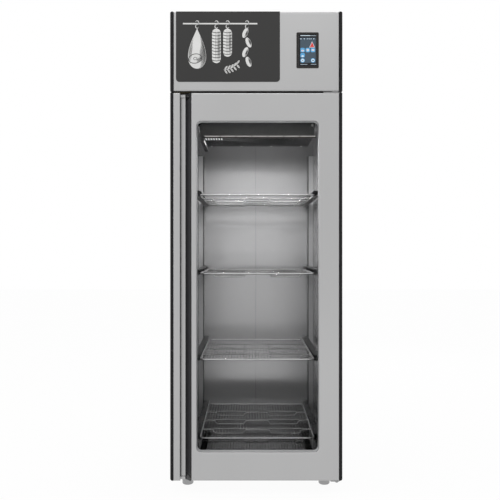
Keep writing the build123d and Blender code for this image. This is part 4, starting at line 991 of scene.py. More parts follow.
# Column of a key, and its mark's width and height in millimetres.
KEY_MARKS = ((0, 6, 3.5), (2, 7.5, 5.5))
tile_left, tile_top = screen_low.x + TILE_LEFT, screen_low.z + TILE_TOP
for column, row, wide, high, drop in TILE_MARKS:
    x, z = tile_left + column * TILE_PITCH, tile_top - row * TILE_PITCH
    mark = (x, z - drop * mm)
    tile_corners = (x - TILE / 2, z - TILE / 2), (x + TILE / 2, z + TILE / 2)
    sign("display_tiles", flat_ring(*tile_corners, TILE_CORNER), 1)
    sign("display_marks", oval(mark, wide * mm, high * mm)[:-1], 2)
    if row == 0:
        sign("tile_centres", oval(mark, CENTRE_WIDE, CENTRE_HIGH)[:-1], 3)
for column, wide, high in KEY_MARKS:
    key = (tile_left + column * TILE_PITCH, tile_top - 2 * TILE_PITCH)
    sign("display_tiles", oval(key, TILE, TILE)[:-1], 1)
    sign("display_marks", oval(key, TILE * KEY_MARK_SHARE, TILE * KEY_MARK_SHARE)[:-1], 2)
    sign("key_centres", oval(key, wide * mm, high * mm)[:-1], 3)
print("tiles:", len(TILE_MARKS), "keys:", len(KEY_MARKS))

# %% Warning sign
PEAK_COLUMN, PEAK_LIFT = 1.83, 38 * mm
PEAK_HEIGHT = 27 * mm
peak_x, peak_z = tile_left + PEAK_COLUMN * TILE_PITCH, tile_top + PEAK_LIFT
# The half width and the rise of a triangle's peak are in millimetres.
for name, half, top, layer in (("display_marks", 12.5, 0, 1), ("display_warning", 10, -3, 2)):
    base_z = peak_z - PEAK_HEIGHT - top / 2 * mm
    foot_ends = [(peak_x - half * mm, base_z), (peak_x + half * mm, base_z)]
    sign(name, foot_ends + [(peak_x, peak_z + top * mm)], layer)
print("warning sign's peak at", (peak_x, peak_z))

# %% Status marks and bars
STATUS_DROP, STATUS_HIGH = 19 * mm, 3 * mm
BAR_CORNER = 0.5 * mm
# How far across the screen a mark lies, and its width, in millimetres.
STATUS_MARKS = ((10, 7), (25, 7), (38, 5), (46, 5), (54, 5), (66, 6))
for across, wide in STATUS_MARKS:
    dot = (screen_low.x + across * mm, screen_high.z - STATUS_DROP)
    sign("display_marks", oval(dot, wide * mm, STATUS_HIGH, count=12)[:-1], 2)
# Where a bar starts and ends across the screen in millimetres, its place up the screen, and its thickness.
for start, end, z, high in (
    (8, 50, screen_high.z - 5 * mm, 2.8 * mm),
    (50, 76, screen_high.z - 5.5 * mm, 1.3 * mm),
    (8, 38, screen_low.z + 7 * mm, 1.3 * mm),
    (54, 77, screen_low.z + 7.5 * mm, 1.3 * mm),
):
    bar_low = (screen_low.x + start * mm, z - high / 2)
    bar_high = (screen_low.x + end * mm, z + high / 2)
    sign("display_marks", flat_ring(bar_low, bar_high, BAR_CORNER), 2)
for name, (glow_name, colour) in sign_colours.items():
    mount(keep(name, signs[name], glow_finish(glow_name, colour, 0.35)), "root")

# %% [markdown]
# ## Seam of the back liner
# The back liner is two sheets that meet in the middle of the chamber. Behind the hair-wide gap lies a dark
# strip, so the seam shows as a thin dark line from the front. One flat block, a little wider than the gap, is
# enough for that.
# %% Strip behind the seam
SEAM_HALF = 2 * mm
SEAM_REACH = 0.1 * mm
SEAM_BACK = 1 * mm
rear_low, rear_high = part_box("rear_liner")
seam_x = (rear_low.x + rear_high.x) / 2
bm = bmesh.new()
strip_low = (seam_x - SEAM_HALF, rear_high.y - SEAM_REACH, rear_low.z)
add_block(bm, strip_low, (seam_x + SEAM_HALF, rear_high.y + SEAM_BACK, rear_high.z))
mount(keep("seam_strip", bm, dark_trim), "root")

# %% [markdown]
# ## Geometry Nodes that make what repeats
# Wires, punched slots, fins, fan blades, guard rings and screws all repeat by a rule, so each has a node tree
# with its sizes as named inputs. One helper runs a tree, keeps its result as a plain mesh and takes the
# modifier off again, so that the result is ordinary geometry.
# %% Start a tree


def new_tree(name, **sizes):
    """Start a geometry tree: one named input per size, whole numbers as integers, and a material."""
    tree = bpy.data.node_groups.new(name, "GeometryNodeTree")
    for label, value in sizes.items():
        kind = "NodeSocketInt" if isinstance(value, int) else "NodeSocketFloat"
        title = label.replace("_", " ").title()
        socket = tree.interface.new_socket(title, in_out="INPUT", socket_type=kind)
        socket.default_value = value
    tree.interface.new_socket("Material", in_out="INPUT", socket_type="NodeSocketMaterial")
    tree.interface.new_socket("Geometry", in_out="OUTPUT", socket_type="NodeSocketGeometry")
    print("tree", name, "with inputs", list(sizes))
    return tree, put(tree, "NodeGroupInput").outputs


def xyz(tree, x=0.0, y=0.0, z=0.0):
    """Three numbers or sockets as one vector socket."""
    return put(tree, "ShaderNodeCombineXYZ", {0: x, 1: y, 2: z}).outputs[0]


def join(tree, *parts):
    """Several geometries as one."""
    joined = put(tree, "GeometryNodeJoinGeometry")
    for part in parts:
        tree.links.new(part, joined.inputs[0])
    return joined.outputs[0]


# %% Run a tree
EDGE_ANGLE = 50


def copied(result, places):
    """A bmesh with one copy of a mesh at each place, all faces outwards."""
    bm = bmesh.new()
    for place in places:
        copy = result.copy()
        copy.transform(place)
        bm.from_mesh(copy)
        bpy.data.meshes.remove(copy)
    bmesh.ops.recalc_face_normals(bm, faces=bm.faces)
    return bm


def run_tree(tree, name, material, places, **sizes):
    """Run a tree once, set copies of its result at the given places, and keep them as one plain mesh."""
    holder = bpy.data.objects.new(name, bpy.data.meshes.new(name))
    bpy.context.scene.collection.objects.link(holder)
    run = holder.modifiers.new("tree", "NODES")
    run.node_group = tree
    values = {**sizes, "material": material}
    for item in tree.interface.items_tree:
        key = item.name.lower().replace(" ", "_")
        if item.in_out == "INPUT" and key in values:
            run[item.identifier] = values[key]
    result = bpy.data.meshes.new_from_object(holder.evaluated_get(bpy.context.evaluated_depsgraph_get()))
    holder.modifiers.clear()
    bm = copied(result, places)
    used = [m for m in result.materials if m]
    for face in bm.faces:
        face.material_index = used.index(result.materials[face.material_index])
    result.materials.clear()
    for m in used:
        result.materials.append(m)
    holder.data = result
    bm.to_mesh(result)
    bm.free()
    result.set_sharp_from_angle(angle=math.radians(EDGE_ANGLE))
    return holder


# %% [markdown]
# ## Wire shelves
# Each shelf is a bent rim with thin wires from front to back welded inside it. Stouter wires run across
# underneath in pairs: one straight, the other stepped down twice, which makes two long wells. The step is a
# rule on the wire's own length, so the tree takes a straight line and lowers it where a smooth ramp says.
# %% Wires and rows
RIM_RADIUS = 4 * mm
shelf_tree, s = new_tree(
    "wire_shelf",
    width=0.53,
    depth=0.65,
    rim_radius=RIM_RADIUS,
    corner=14 * mm,
    thin_radius=1.5 * mm,
    thin_wires=36,
    cross_radius=2.5 * mm,
    row_start=0.15,
    row_pitch=0.164,
    pair_gap=22 * mm,
    rows=3,
    well_drop=16 * mm,
    well_ramp=16 * mm,
    first_left=-0.213,
    first_right=-0.051,
    second_left=0.057,
    second_right=0.218,
)


def wire(tree, curve, radius, sides=8):
    """Give a curve the thickness of a round wire."""
    profile = put(tree, "GeometryNodeCurvePrimitiveCircle", {"Resolution": sides, "Radius": radius})
    sweep = {0: curve, 1: profile.outputs[0], "Fill Caps": True}
    return put(tree, "GeometryNodeCurveToMesh", sweep).outputs[0]


def row_of(tree, count, start, step, instance):
    """Set an instance at each point of a straight row."""
    line = put(tree, "GeometryNodeMeshLine", {"Count": count, "Start Location": start, "Offset": step})
    return put(tree, "GeometryNodeInstanceOnPoints", {0: line.outputs[0], "Instance": instance}).outputs[0]


def straight_line(tree, start, end):
    """A straight curve between two points."""
    return put(tree, "GeometryNodeCurvePrimitiveLine", {"Start": start, "End": end}).outputs[0]


# %% Rim and thin wires
rim_width = calc(shelf_tree, "MULTIPLY_ADD", s["Rim Radius"], -2.0, s["Width"])
rim_depth = calc(shelf_tree, "MULTIPLY_ADD", s["Rim Radius"], -2.0, s["Depth"])
rim_sizes = {"Width": rim_width, "Height": rim_depth}
rim_shape = put(shelf_tree, "GeometryNodeCurvePrimitiveQuadrilateral", rim_sizes).outputs[0]
rim_corners = {"Curve": rim_shape, "Count": 7, "Radius": s["Corner"], "Limit Radius": True}
rim_round = put(shelf_tree, "GeometryNodeFilletCurve", rim_corners, mode="POLY")
rim = wire(shelf_tree, rim_round.outputs[0], s["Rim Radius"], 12)
half_depth = calc(shelf_tree, "MULTIPLY", rim_depth, 0.5)
half_width = calc(shelf_tree, "MULTIPLY", rim_width, 0.5)
thin_front = xyz(shelf_tree, y=calc(shelf_tree, "MULTIPLY", half_depth, -1.0))
thin_line = straight_line(shelf_tree, thin_front, xyz(shelf_tree, y=half_depth))
thin_pitch = calc(shelf_tree, "DIVIDE", rim_width, calc(shelf_tree, "ADD", s["Thin Wires"], 1.0))
thin = row_of(
    shelf_tree,
    s["Thin Wires"],
    xyz(shelf_tree, x=calc(shelf_tree, "SUBTRACT", thin_pitch, half_width)),
    xyz(shelf_tree, x=thin_pitch),
    wire(shelf_tree, thin_line, s["Thin Radius"]),
)
print("nodes so far:", len(shelf_tree.nodes))

# %% Line of a cross wire
INTO_RIM_SHARE = 0.4
LINE_POINTS = 150
wire_radii = calc(shelf_tree, "ADD", s["Thin Radius"], s["Cross Radius"])
cross_drop = calc(shelf_tree, "MULTIPLY", wire_radii, -1.0)
cross_reach = calc(shelf_tree, "MULTIPLY_ADD", s["Rim Radius"], -INTO_RIM_SHARE, half_width)
cross_line = straight_line(
    shelf_tree,
    xyz(shelf_tree, x=calc(shelf_tree, "MULTIPLY", cross_reach, -1.0), z=cross_drop),
    xyz(shelf_tree, x=cross_reach, z=cross_drop),
)
fine_line = put(shelf_tree, "GeometryNodeResampleCurve", {"Curve": cross_line, "Count": LINE_POINTS})
print("points along a stepped wire:", LINE_POINTS)

# %% Wells
line_place = put(shelf_tree, "GeometryNodeInputPosition").outputs[0]
across = put(shelf_tree, "ShaderNodeSeparateXYZ", {0: line_place}).outputs["X"]


def ramp_up(start, end):
    """A smooth step from 0 to 1 between two places across the shelf."""
    limits = {"Value": across, "From Min": start, "From Max": end}
    return put(shelf_tree, "ShaderNodeMapRange", limits, interpolation_type="SMOOTHSTEP").outputs[0]


wells = []
for left, right in (("First Left", "First Right"), ("Second Left", "Second Right")):
    inside_left = calc(shelf_tree, "ADD", s[left], s["Well Ramp"])
    inside_right = calc(shelf_tree, "SUBTRACT", s[right], s["Well Ramp"])
    edges = ramp_up(s[left], inside_left), ramp_up(inside_right, s[right])
    wells.append(calc(shelf_tree, "SUBTRACT", *edges))
well_depth = calc(shelf_tree, "MULTIPLY", calc(shelf_tree, "ADD", *wells), s["Well Drop"])
well_offset = xyz(shelf_tree, z=calc(shelf_tree, "MULTIPLY", well_depth, -1.0))
lowered = {"Geometry": fine_line.outputs[0], "Offset": well_offset}
stepped_line = put(shelf_tree, "GeometryNodeSetPosition", lowered).outputs[0]
print("wells:", len(wells))

# %% Rows of cross wires
row_y = calc(shelf_tree, "MULTIPLY_ADD", s["Depth"], -0.5, s["Row Start"])
pair_y = calc(shelf_tree, "ADD", row_y, s["Pair Gap"])
row_step = xyz(shelf_tree, y=s["Row Pitch"])
stepped, straight = (
    row_of(shelf_tree, s["Rows"], xyz(shelf_tree, y=y), row_step, wire(shelf_tree, line, s["Cross Radius"]))
    for y, line in ((row_y, stepped_line), (pair_y, cross_line))
)
painted_wires = []
for geometry, steel in (
    (rim, s["Material"]),
    (stepped, well_steel),
    (straight, cross_steel),
    (thin, thin_wire_steel),
):
    real = put(shelf_tree, "GeometryNodeRealizeInstances", {"Geometry": geometry}).outputs[0]
    painted = put(shelf_tree, "GeometryNodeSetMaterial", {"Geometry": real, "Material": steel})
    painted_wires.append(painted.outputs[0])
shelf_shade = put(shelf_tree, "GeometryNodeSetShadeSmooth", {"Geometry": join(shelf_tree, *painted_wires)})
put(shelf_tree, "NodeGroupOutput", {0: shelf_shade.outputs[0]})
print("nodes in the shelf tree:", len(shelf_tree.nodes))

# %% Four shelves
for number in (1, 2, 3, 4):
    node = f"shelf_{number}"
    low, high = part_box(node)
    middle = Matrix.Translation(((low.x + high.x) / 2, (low.y + high.y) / 2, high.z - RIM_RADIUS))
    size = high - low
    shelf = run_tree(shelf_tree, f"wire_{node}", wire_steel, (middle,), width=size.x, depth=size.y)
    mount(shelf, node, node, slot="shelf_wire")

# %% [markdown]
# ## Punched sheet
# Slots in a row or a grid are punched into the rack uprights, the top cover and the grille. Geometry Nodes
# fill the area between an outer rectangle and all the slot outlines in one go and then give it its thickness.
# The sheet lies flat in the tree and is stood up where it belongs.
# %% Start of the punched sheet
punch_tree, s = new_tree(
    "punched_sheet",
    width=0.1,
    height=0.1,
    thickness=1 * mm,
    slot_width=10 * mm,
    slot_height=4 * mm,
    slot_corner=2 * mm,
    columns=1,
    rows=1,
    column_pitch=20 * mm,
    row_pitch=10 * mm,
)


def rectangle(width, height):
    """A rectangular outline in the punched sheet's tree."""
    sizes = {"Width": width, "Height": height}
    return put(punch_tree, "GeometryNodeCurvePrimitiveQuadrilateral", sizes).outputs[0]


border = rectangle(s["Width"], s["Height"])
slot_shape = rectangle(s["Slot Width"], s["Slot Height"])
slot_corners = {"Curve": slot_shape, "Count": 4, "Radius": s["Slot Corner"], "Limit Radius": True}
slot_round = put(punch_tree, "GeometryNodeFilletCurve", slot_corners, mode="POLY").outputs[0]

# %% Grid of slots
CLOSE_GAP = 0.01 * mm


def centred(tree, count, pitch):
    """Where a centred row of that many copies starts."""
    return calc(tree, "MULTIPLY", calc(tree, "MULTIPLY", calc(tree, "SUBTRACT", count, 1.0), pitch), -0.5)


def thickened(tree, sheet, thickness, **offset):
    """Give an open sheet a thickness and close it all round."""
    extrusion = {"Mesh": sheet, "Offset Scale": thickness, "Individual": False, **offset}
    raised = put(tree, "GeometryNodeExtrudeMesh", extrusion).outputs[0]
    under = put(tree, "GeometryNodeFlipFaces", {"Mesh": sheet}).outputs[0]
    both = {"Geometry": join(tree, raised, under), "Distance": CLOSE_GAP}
    return put(tree, "GeometryNodeMergeByDistance", both).outputs[0]


def end_tree(tree, parts, material, smooth=True):
    """Join the parts, realize the instances, set the material and end the tree."""
    real = put(tree, "GeometryNodeRealizeInstances", {"Geometry": join(tree, *parts)}).outputs[0]
    shaded = put(tree, "GeometryNodeSetShadeSmooth", {"Geometry": real, "Shade Smooth": smooth}).outputs[0]
    painted = put(tree, "GeometryNodeSetMaterial", {"Geometry": shaded, "Material": material})
    put(tree, "NodeGroupOutput", {0: painted.outputs[0]})
    print("nodes in", tree.name, len(tree.nodes))


first_column = centred(punch_tree, s["Columns"], s["Column Pitch"])
column_step = xyz(punch_tree, x=s["Column Pitch"])
slot_row = row_of(punch_tree, s["Columns"], xyz(punch_tree, x=first_column), column_step, slot_round)
first_row = centred(punch_tree, s["Rows"], s["Row Pitch"])
slot_grid = row_of(
    punch_tree, s["Rows"], xyz(punch_tree, y=first_row), xyz(punch_tree, y=s["Row Pitch"]), slot_row
)
all_outlines = {"Geometry": join(punch_tree, border, slot_grid)}
outlines = put(punch_tree, "GeometryNodeRealizeInstances", all_outlines).outputs[0]
filled = put(punch_tree, "GeometryNodeFillCurve", {"Curve": outlines}, mode="TRIANGLES").outputs[0]
punched = thickened(punch_tree, filled, s["Thickness"], Offset=(0, 0, 1))
end_tree(punch_tree, [punched], s["Material"], smooth=False)

# %% Top cover
COVER_STRIP_GAP = 175 * mm


def add_block_to(mesh, low, high):
    """Add a plain closed block to a finished mesh."""
    bm = bmesh.new()
    bm.from_mesh(mesh)
    add_block(bm, low, high)
    bmesh.ops.recalc_face_normals(bm, faces=bm.faces)
    bm.to_mesh(mesh)
    bm.free()


cover_low, cover_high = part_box("top_cover")
strip_y = cover_high.y - COVER_STRIP_GAP
strip_front = 2 * strip_y - cover_high.y
cover_middle_x = (cover_low.x + cover_high.x) / 2
top_vent = run_tree(
    punch_tree,
    "top_vent",
    zinc_sheet,
    (Matrix.Translation((cover_middle_x, strip_y, cover_low.z)),),
    width=cover_high.x - cover_low.x,
    height=2 * COVER_STRIP_GAP,
    thickness=cover_high.z - cover_low.z,
    slot_width=8 * mm,
    slot_height=130 * mm,
    slot_corner=4 * mm,
    columns=12,
    column_pitch=24 * mm,
)
add_block_to(top_vent.data, cover_low, (cover_high.x, strip_front, cover_high.z))
mount(top_vent, "root", "top_cover", slot="zinc_sheet")

# %% Rear grille
grille_low, grille_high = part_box("rear_grille")
stand_up = Matrix.Rotation(math.radians(90), 4, "X")
grille_middle = ((grille_low.x + grille_high.x) / 2, grille_high.y, (grille_low.z + grille_high.z) / 2)
rear_vent = run_tree(
    punch_tree,
    "rear_vent",
    zinc_sheet,
    (Matrix.Translation(grille_middle) @ stand_up,),
    width=grille_high.x - grille_low.x,
    height=grille_high.z - grille_low.z,
    thickness=grille_high.y - grille_low.y,
    slot_width=240 * mm,
    slot_height=10 * mm,
    slot_corner=5 * mm,
    columns=2,
    rows=8,
    column_pitch=340 * mm,
    row_pitch=30 * mm,
)
mount(rear_vent, "root", "rear_grille", slot="zinc_sheet")

# %% [markdown]
# ## Rack uprights
# The shelves' slides hook into upright channels with a ladder of slots from top to bottom. Each upright is a
# punched web with a plain flange folded back to the wall along each side.
# %% Uprights with a slot at every step
RACK_SHEET = 1.5 * mm
RACK_WEB = 3.5 * mm
RACK_WIDTH = 30 * mm
RACK_REACH = 26.5 * mm
RACK_PITCH = 32.7 * mm
rack_low, rack_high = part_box("rack_uprights")
rack_height = rack_high.z - rack_low.z
web_places = []
flanges = bmesh.new()
for side, wall in ((1, rack_low.x), (-1, rack_high.x)):
    face = wall + side * RACK_REACH
    for near in (rack_low.y, rack_high.y - RACK_WIDTH):
        middle = (face - side * RACK_WEB, near + RACK_WIDTH / 2, (rack_low.z + rack_high.z) / 2)
        web_places.append(Matrix.Translation(middle) @ Matrix.Rotation(math.radians(side * 90), 4, "Y"))
        for start in (near, near + RACK_WIDTH - RACK_SHEET):
            low_x, high_x = sorted((wall, face - side * RACK_WEB))
            add_block(flanges, (low_x, start, rack_low.z), (high_x, start + RACK_SHEET, rack_high.z))
# The webs are painted near black as painted shade, for the dark line between each flange and the wall.
uprights = run_tree(
    punch_tree,
    "slotted_uprights",
    slide_paint,
    web_places,
    width=rack_height,
    height=RACK_WIDTH,
    thickness=RACK_WEB,
    slot_width=8 * mm,
    slot_height=14 * mm,
    slot_corner=1.5 * mm,
    columns=int(rack_height / RACK_PITCH),
    column_pitch=RACK_PITCH,
)
mount(uprights, "root", "rack_uprights", slot="rack_steel")
mount(keep("upright_flanges", flanges, rack_steel), "root", "rack_uprights")

# %% [markdown]
# ## Evaporator housing
# A dark painted box hangs under the chamber's ceiling. Its ends draw in a little towards the bottom. The lamp
# strip sits under its front edge, air enters through slots in its underside, and two fans blow out at its
# back. The box is a lofted shell, and its slots and openings are cut with a Boolean, as a press would do.
# %% Housing shell
TAPER_START = 50 * mm
TAPER = 9 * mm
END_GAP = 4 * mm
HOUSING_SHEET = 1.5 * mm
housing_low, housing_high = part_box("evaporator_housing")
channel_low, channel_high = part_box("led_channel")
top_z, underside = housing_high.z, channel_high.z
rail_end = channel_low.x


def housing_ring(inset, z, draw):
    """The housing's outline at one height, drawn in at both ends."""
    left, right = housing_low.x + inset + draw, housing_high.x - inset - draw
    near, far = housing_low.y + inset, housing_high.y - inset
    return [(left, near, z), (right, near, z), (right, far, z), (left, far, z)]


inner_levels = [(underside + HOUSING_SHEET, TAPER), (underside + TAPER_START, END_GAP), (top_z, END_GAP)]
outer_levels = [(top_z, END_GAP), (underside + TAPER_START, END_GAP), (underside, TAPER)]
shell = [housing_ring(HOUSING_SHEET, z, draw) for z, draw in inner_levels]
shell += [housing_ring(0, z, draw) for z, draw in outer_levels]
bm = bmesh.new()
skin_rings(bm, shell)
housing = keep("evaporator_cover", bm, housing_paint)
print("housing from", housing_low, "to", housing_high)

# %% Cutters for the openings
FAN_OPENING = 46 * mm
FAN_CUT_HALF = 12 * mm
LOUVRE_COUNT = 7
LOUVRE_PITCH = 12.3 * mm
LOUVRE_WIDTH = 4.6 * mm
LOUVRE_START = 1 * mm
LOUVRE_INSET = 30 * mm
LOUVRE_LENGTH = 92 * mm
CUT_BELOW, CUT_ABOVE = 5 * mm, 8 * mm
louvre_near = housing_low.y + LOUVRE_INSET
louvre_far = louvre_near + LOUVRE_LENGTH
fan_boxes = [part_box(node) for node in ("evaporator_fan_left", "evaporator_fan_right")]
fan_middles = [(low + high) / 2 for low, high in fan_boxes]


def turned_rings(outline, centre, axis="Z", steps=40):
    """Rings of points for an outline of (radius, height) pairs that is spun round an axis."""
    rings = []
    for radius, height in outline:
        loop = []
        for i in range(steps):
            angle = math.tau * i / steps
            a, b = radius * math.cos(angle), radius * math.sin(angle)
            loop.append(Vector((a, b, height) if axis == "Z" else (a, -height, b)) + Vector(centre))
        rings.append(loop)
    return rings


cutters = bmesh.new()
for i in range(LOUVRE_COUNT):
    left = rail_end + LOUVRE_START + LOUVRE_PITCH * i
    cut_low = (left, louvre_near, underside - CUT_BELOW)
    add_block(cutters, cut_low, (left + LOUVRE_WIDTH, louvre_far, underside + CUT_ABOVE))
for middle in fan_middles:
    outline = [(FAN_OPENING, -FAN_CUT_HALF), (FAN_OPENING, FAN_CUT_HALF)]
    skin_rings(cutters, turned_rings(outline, (middle.x, housing_high.y, middle.z), "Y", 48))
cutter = keep("housing_cutter", cutters, housing_paint)
print("slots:", LOUVRE_COUNT, "fan openings:", len(fan_middles))

# %% Openings in the housing
cut = housing.modifiers.new("openings", "BOOLEAN")
cut.operation = "DIFFERENCE"
cut.solver = "EXACT"
cut.object = cutter
pressed = bpy.data.meshes.new_from_object(housing.evaluated_get(bpy.context.evaluated_depsgraph_get()))
housing.modifiers.clear()
housing.data = pressed
bpy.data.objects.remove(cutter)
rail_low = (housing_low.x + TAPER, housing_low.y, housing_low.z)
add_block_to(pressed, rail_low, (rail_end, housing_high.y, underside))
mount(housing, "root", "evaporator_housing", slot="dark_paint")

# %% Channel of the lamp strip
STRIP_LIP = 5.6 * mm
STRIP_SHEET = 2 * mm
lip_z = channel_low.z + STRIP_LIP
strip_inside = channel_high.y - STRIP_SHEET
strip_section = [(channel_low.y, channel_low.z), (channel_high.y, channel_low.z)]
strip_section += [(channel_high.y, channel_high.z), (strip_inside, channel_high.z)]
strip_section += [(strip_inside, lip_z), (channel_low.y, lip_z)]
bm = bmesh.new()
skin_rings(bm, [[(x, y, z) for y, z in strip_section] for x in (channel_low.x, channel_high.x)])
mount(keep("strip_channel", bm, lamp_channel), "root", "led_channel", slot="lamp_channel")

# %% Lenses of the lamp strip
LENS_COUNT = 7
LENS_GAP = 4 * mm
LENS_DEPTH = 6 * mm
LENS_ROUND = 0.6 * mm
lens_pitch = (channel_high.x - channel_low.x) / LENS_COUNT


def rounded(bm, radius):
    """Round every edge of the blocks in a bmesh."""
    bmesh.ops.bevel(bm, geom=bm.edges[:], offset=radius, segments=2, affect="EDGES")
    return bm


bm = bmesh.new()
for i in range(LENS_COUNT):
    left = channel_low.x + lens_pitch * i + LENS_GAP / 2
    lens_end = (left + lens_pitch - LENS_GAP, channel_low.y + LENS_DEPTH, channel_high.z)
    add_block(bm, (left, channel_low.y, lip_z), lens_end)
mount(keep("strip_lenses", rounded(bm, LENS_ROUND), lamp_lens), "root", "led_lenses", slot="lamp_lens")

# %% Lamp over the slots
SLOT_LAMP_LIFT, SLOT_LAMP_SHEET = 3 * mm, 3 * mm
SLOT_LAMP_PAST = 25 * mm
SLOT_LAMP_ROUND = 1 * mm
slot_lamp_z = underside + SLOT_LAMP_LIFT
slot_lamp_end = rail_end + LOUVRE_PITCH * LOUVRE_COUNT
bm = bmesh.new()
slot_lamp_high = (slot_lamp_end, louvre_far + SLOT_LAMP_PAST, slot_lamp_z + SLOT_LAMP_SHEET)
add_block(bm, (rail_end, louvre_near, slot_lamp_z), slot_lamp_high)
mount(keep("slot_lamp", rounded(bm, SLOT_LAMP_ROUND), slot_light), "root")

# %% Knobs that hold the housing
KNOB_RADIUS = 6 * mm
KNOB_DROP = 3 * mm
BLACK_KNOB_INSET, BRIGHT_KNOB_INSET = 0.5 * KNOB_RADIUS, 2.2 * KNOB_RADIUS
knob_low, knob_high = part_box("housing_knobs")
knob_z = (knob_low.z + knob_high.z) / 2 - KNOB_DROP
knob_depth = knob_high.y - knob_low.y
knob_outline = [(KNOB_RADIUS * 0.9, 0), (KNOB_RADIUS, 1 * mm), (KNOB_RADIUS, knob_depth - 2 * mm)]
knob_outline += [(KNOB_RADIUS * 0.8, knob_depth - 0.5 * mm), (KNOB_RADIUS * 0.35, knob_depth)]
# The two knobs are alike; one is painted black and the other near white, as painted reflection of dark and
# bright surroundings.
for name, x, material in (
    ("black_knob", knob_low.x + BLACK_KNOB_INSET, dark_trim),
    ("chrome_knob", knob_high.x - BRIGHT_KNOB_INSET, knob_nickel),
):
    bm = bmesh.new()
    skin_rings(bm, turned_rings(knob_outline, (x, knob_high.y, knob_z), "Y", 32))
    mount(keep(name, bm, material, 50), "root", "housing_knobs")

# %% [markdown]
# ## Fins, fans and guards
# A coil is a stack of thin aluminium fins between two end plates. A fan wheel is one twisted blade, set five
# times round its hub. Its guard is a set of wire rings on a few spokes. All three are copies by a rule.
# %% Fin pack tree
TUBE_RADIUS = 5 * mm
TUBE_SHARE = 0.33
fin_tree, s = new_tree(
    "fin_pack", length=0.4, depth=0.08, height=0.076, fin=0.5 * mm, fins=90, end_plate=2 * mm
)


def upright_sheet(thickness):
    """A thin upright sheet as large as the coil's end."""
    size = xyz(fin_tree, thickness, s["Depth"], s["Height"])
    return put(fin_tree, "GeometryNodeMeshCube", {"Size": size}).outputs[0]


fin_pitch = calc(fin_tree, "DIVIDE", s["Length"], s["Fins"])
first_fin = xyz(fin_tree, x=centred(fin_tree, s["Fins"], fin_pitch))
fins = row_of(fin_tree, s["Fins"], first_fin, xyz(fin_tree, x=fin_pitch), upright_sheet(s["Fin"]))
plate_span = calc(fin_tree, "SUBTRACT", s["Length"], s["End Plate"])
first_plate = xyz(fin_tree, x=calc(fin_tree, "MULTIPLY", plate_span, -0.5))
plates = row_of(fin_tree, 2, first_plate, xyz(fin_tree, x=plate_span), upright_sheet(s["End Plate"]))
tube_sizes = {"Vertices": 10, "Radius": TUBE_RADIUS, "Depth": plate_span}
tube = put(fin_tree, "GeometryNodeMeshCylinder", tube_sizes).outputs[0]
lying = {"Geometry": tube, "Rotation": (0, math.radians(90), 0)}
tube_turned = put(fin_tree, "GeometryNodeTransform", lying).outputs[0]
first_tube = xyz(fin_tree, z=calc(fin_tree, "MULTIPLY", s["Height"], -TUBE_SHARE))
tube_step = xyz(fin_tree, z=calc(fin_tree, "MULTIPLY", s["Height"], TUBE_SHARE))
tubes = row_of(fin_tree, 3, first_tube, tube_step, tube_turned)
end_tree(fin_tree, [fins, plates, tubes], s["Material"], smooth=False)

# %% Two coils
for node, count in (("evaporator_coil", 90), ("condenser_coil", 80)):
    low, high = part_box(node)
    length, depth, height = high - low
    place = Matrix.Translation((low + high) / 2)
    sizes = {"length": length, "depth": depth, "height": height, "fins": count}
    coil = run_tree(fin_tree, f"fins_of_{node}", coil_metal, (place,), **sizes)
    mount(coil, "root", node, slot="coil_metal")

# %% Blade of a fan wheel
GRID_POINTS = 9
ROOT_SHARE = 0.9
LEAN = 0.35
FOOT_WIDTH_SHARE = 0.75
FLATTENING = 0.35
fan_tree, s = new_tree(
    "fan_wheel",
    blades=5,
    hub_radius=15 * mm,
    hub_length=18 * mm,
    tip_radius=43 * mm,
    sweep=0.9,
    rise=16 * mm,
    sheet=1 * mm,
)
grid_sizes = {"Size X": 1.0, "Size Y": 1.0, "Vertices X": GRID_POINTS, "Vertices Y": GRID_POINTS}
blade_grid = put(fan_tree, "GeometryNodeMeshGrid", grid_sizes).outputs[0]
flat = put(fan_tree, "ShaderNodeSeparateXYZ", {0: put(fan_tree, "GeometryNodeInputPosition").outputs[0]})
along = calc(fan_tree, "ADD", flat.outputs["X"], 0.5)
root_radius = calc(fan_tree, "MULTIPLY", s["Hub Radius"], ROOT_SHARE)
blade_span = calc(fan_tree, "SUBTRACT", s["Tip Radius"], root_radius)
blade_radius = calc(fan_tree, "MULTIPLY_ADD", along, blade_span, root_radius)
lean = calc(fan_tree, "MULTIPLY", calc(fan_tree, "POWER", along, 2.0), LEAN)
blade_width = calc(fan_tree, "MULTIPLY_ADD", along, 1 - FOOT_WIDTH_SHARE, FOOT_WIDTH_SHARE)
half_turn = calc(fan_tree, "MULTIPLY", flat.outputs["Y"], s["Sweep"])
blade_angle = calc(fan_tree, "MULTIPLY_ADD", half_turn, blade_width, lean)
steepness = calc(fan_tree, "MULTIPLY_ADD", along, -FLATTENING, 1.0)
blade_place = xyz(
    fan_tree,
    calc(fan_tree, "MULTIPLY", blade_radius, calc(fan_tree, "COSINE", blade_angle)),
    calc(fan_tree, "MULTIPLY", blade_radius, calc(fan_tree, "SINE", blade_angle)),
    calc(fan_tree, "MULTIPLY", calc(fan_tree, "MULTIPLY", flat.outputs["Y"], s["Rise"]), steepness),
)
bent = {"Geometry": blade_grid, "Position": blade_place}
blade = thickened(fan_tree, put(fan_tree, "GeometryNodeSetPosition", bent).outputs[0], s["Sheet"])
print("blade of", GRID_POINTS, "by", GRID_POINTS, "points")

# %% Hub and blades
CAP_SHARE, CAP_REACH_SHARE = 0.62, 1.12


def round_about(tree, count, instance):
    """Set an instance that many times round the middle, turned evenly."""
    points = put(tree, "GeometryNodeMeshLine", {"Count": count, "Offset": (0, 0, 0)})
    step = calc(tree, "DIVIDE", math.tau, count)
    turn = calc(tree, "MULTIPLY", put(tree, "GeometryNodeInputIndex").outputs[0], step)
    copies = {0: points.outputs[0], "Instance": instance, "Rotation": xyz(tree, z=turn)}
    return put(tree, "GeometryNodeInstanceOnPoints", copies).outputs[0]


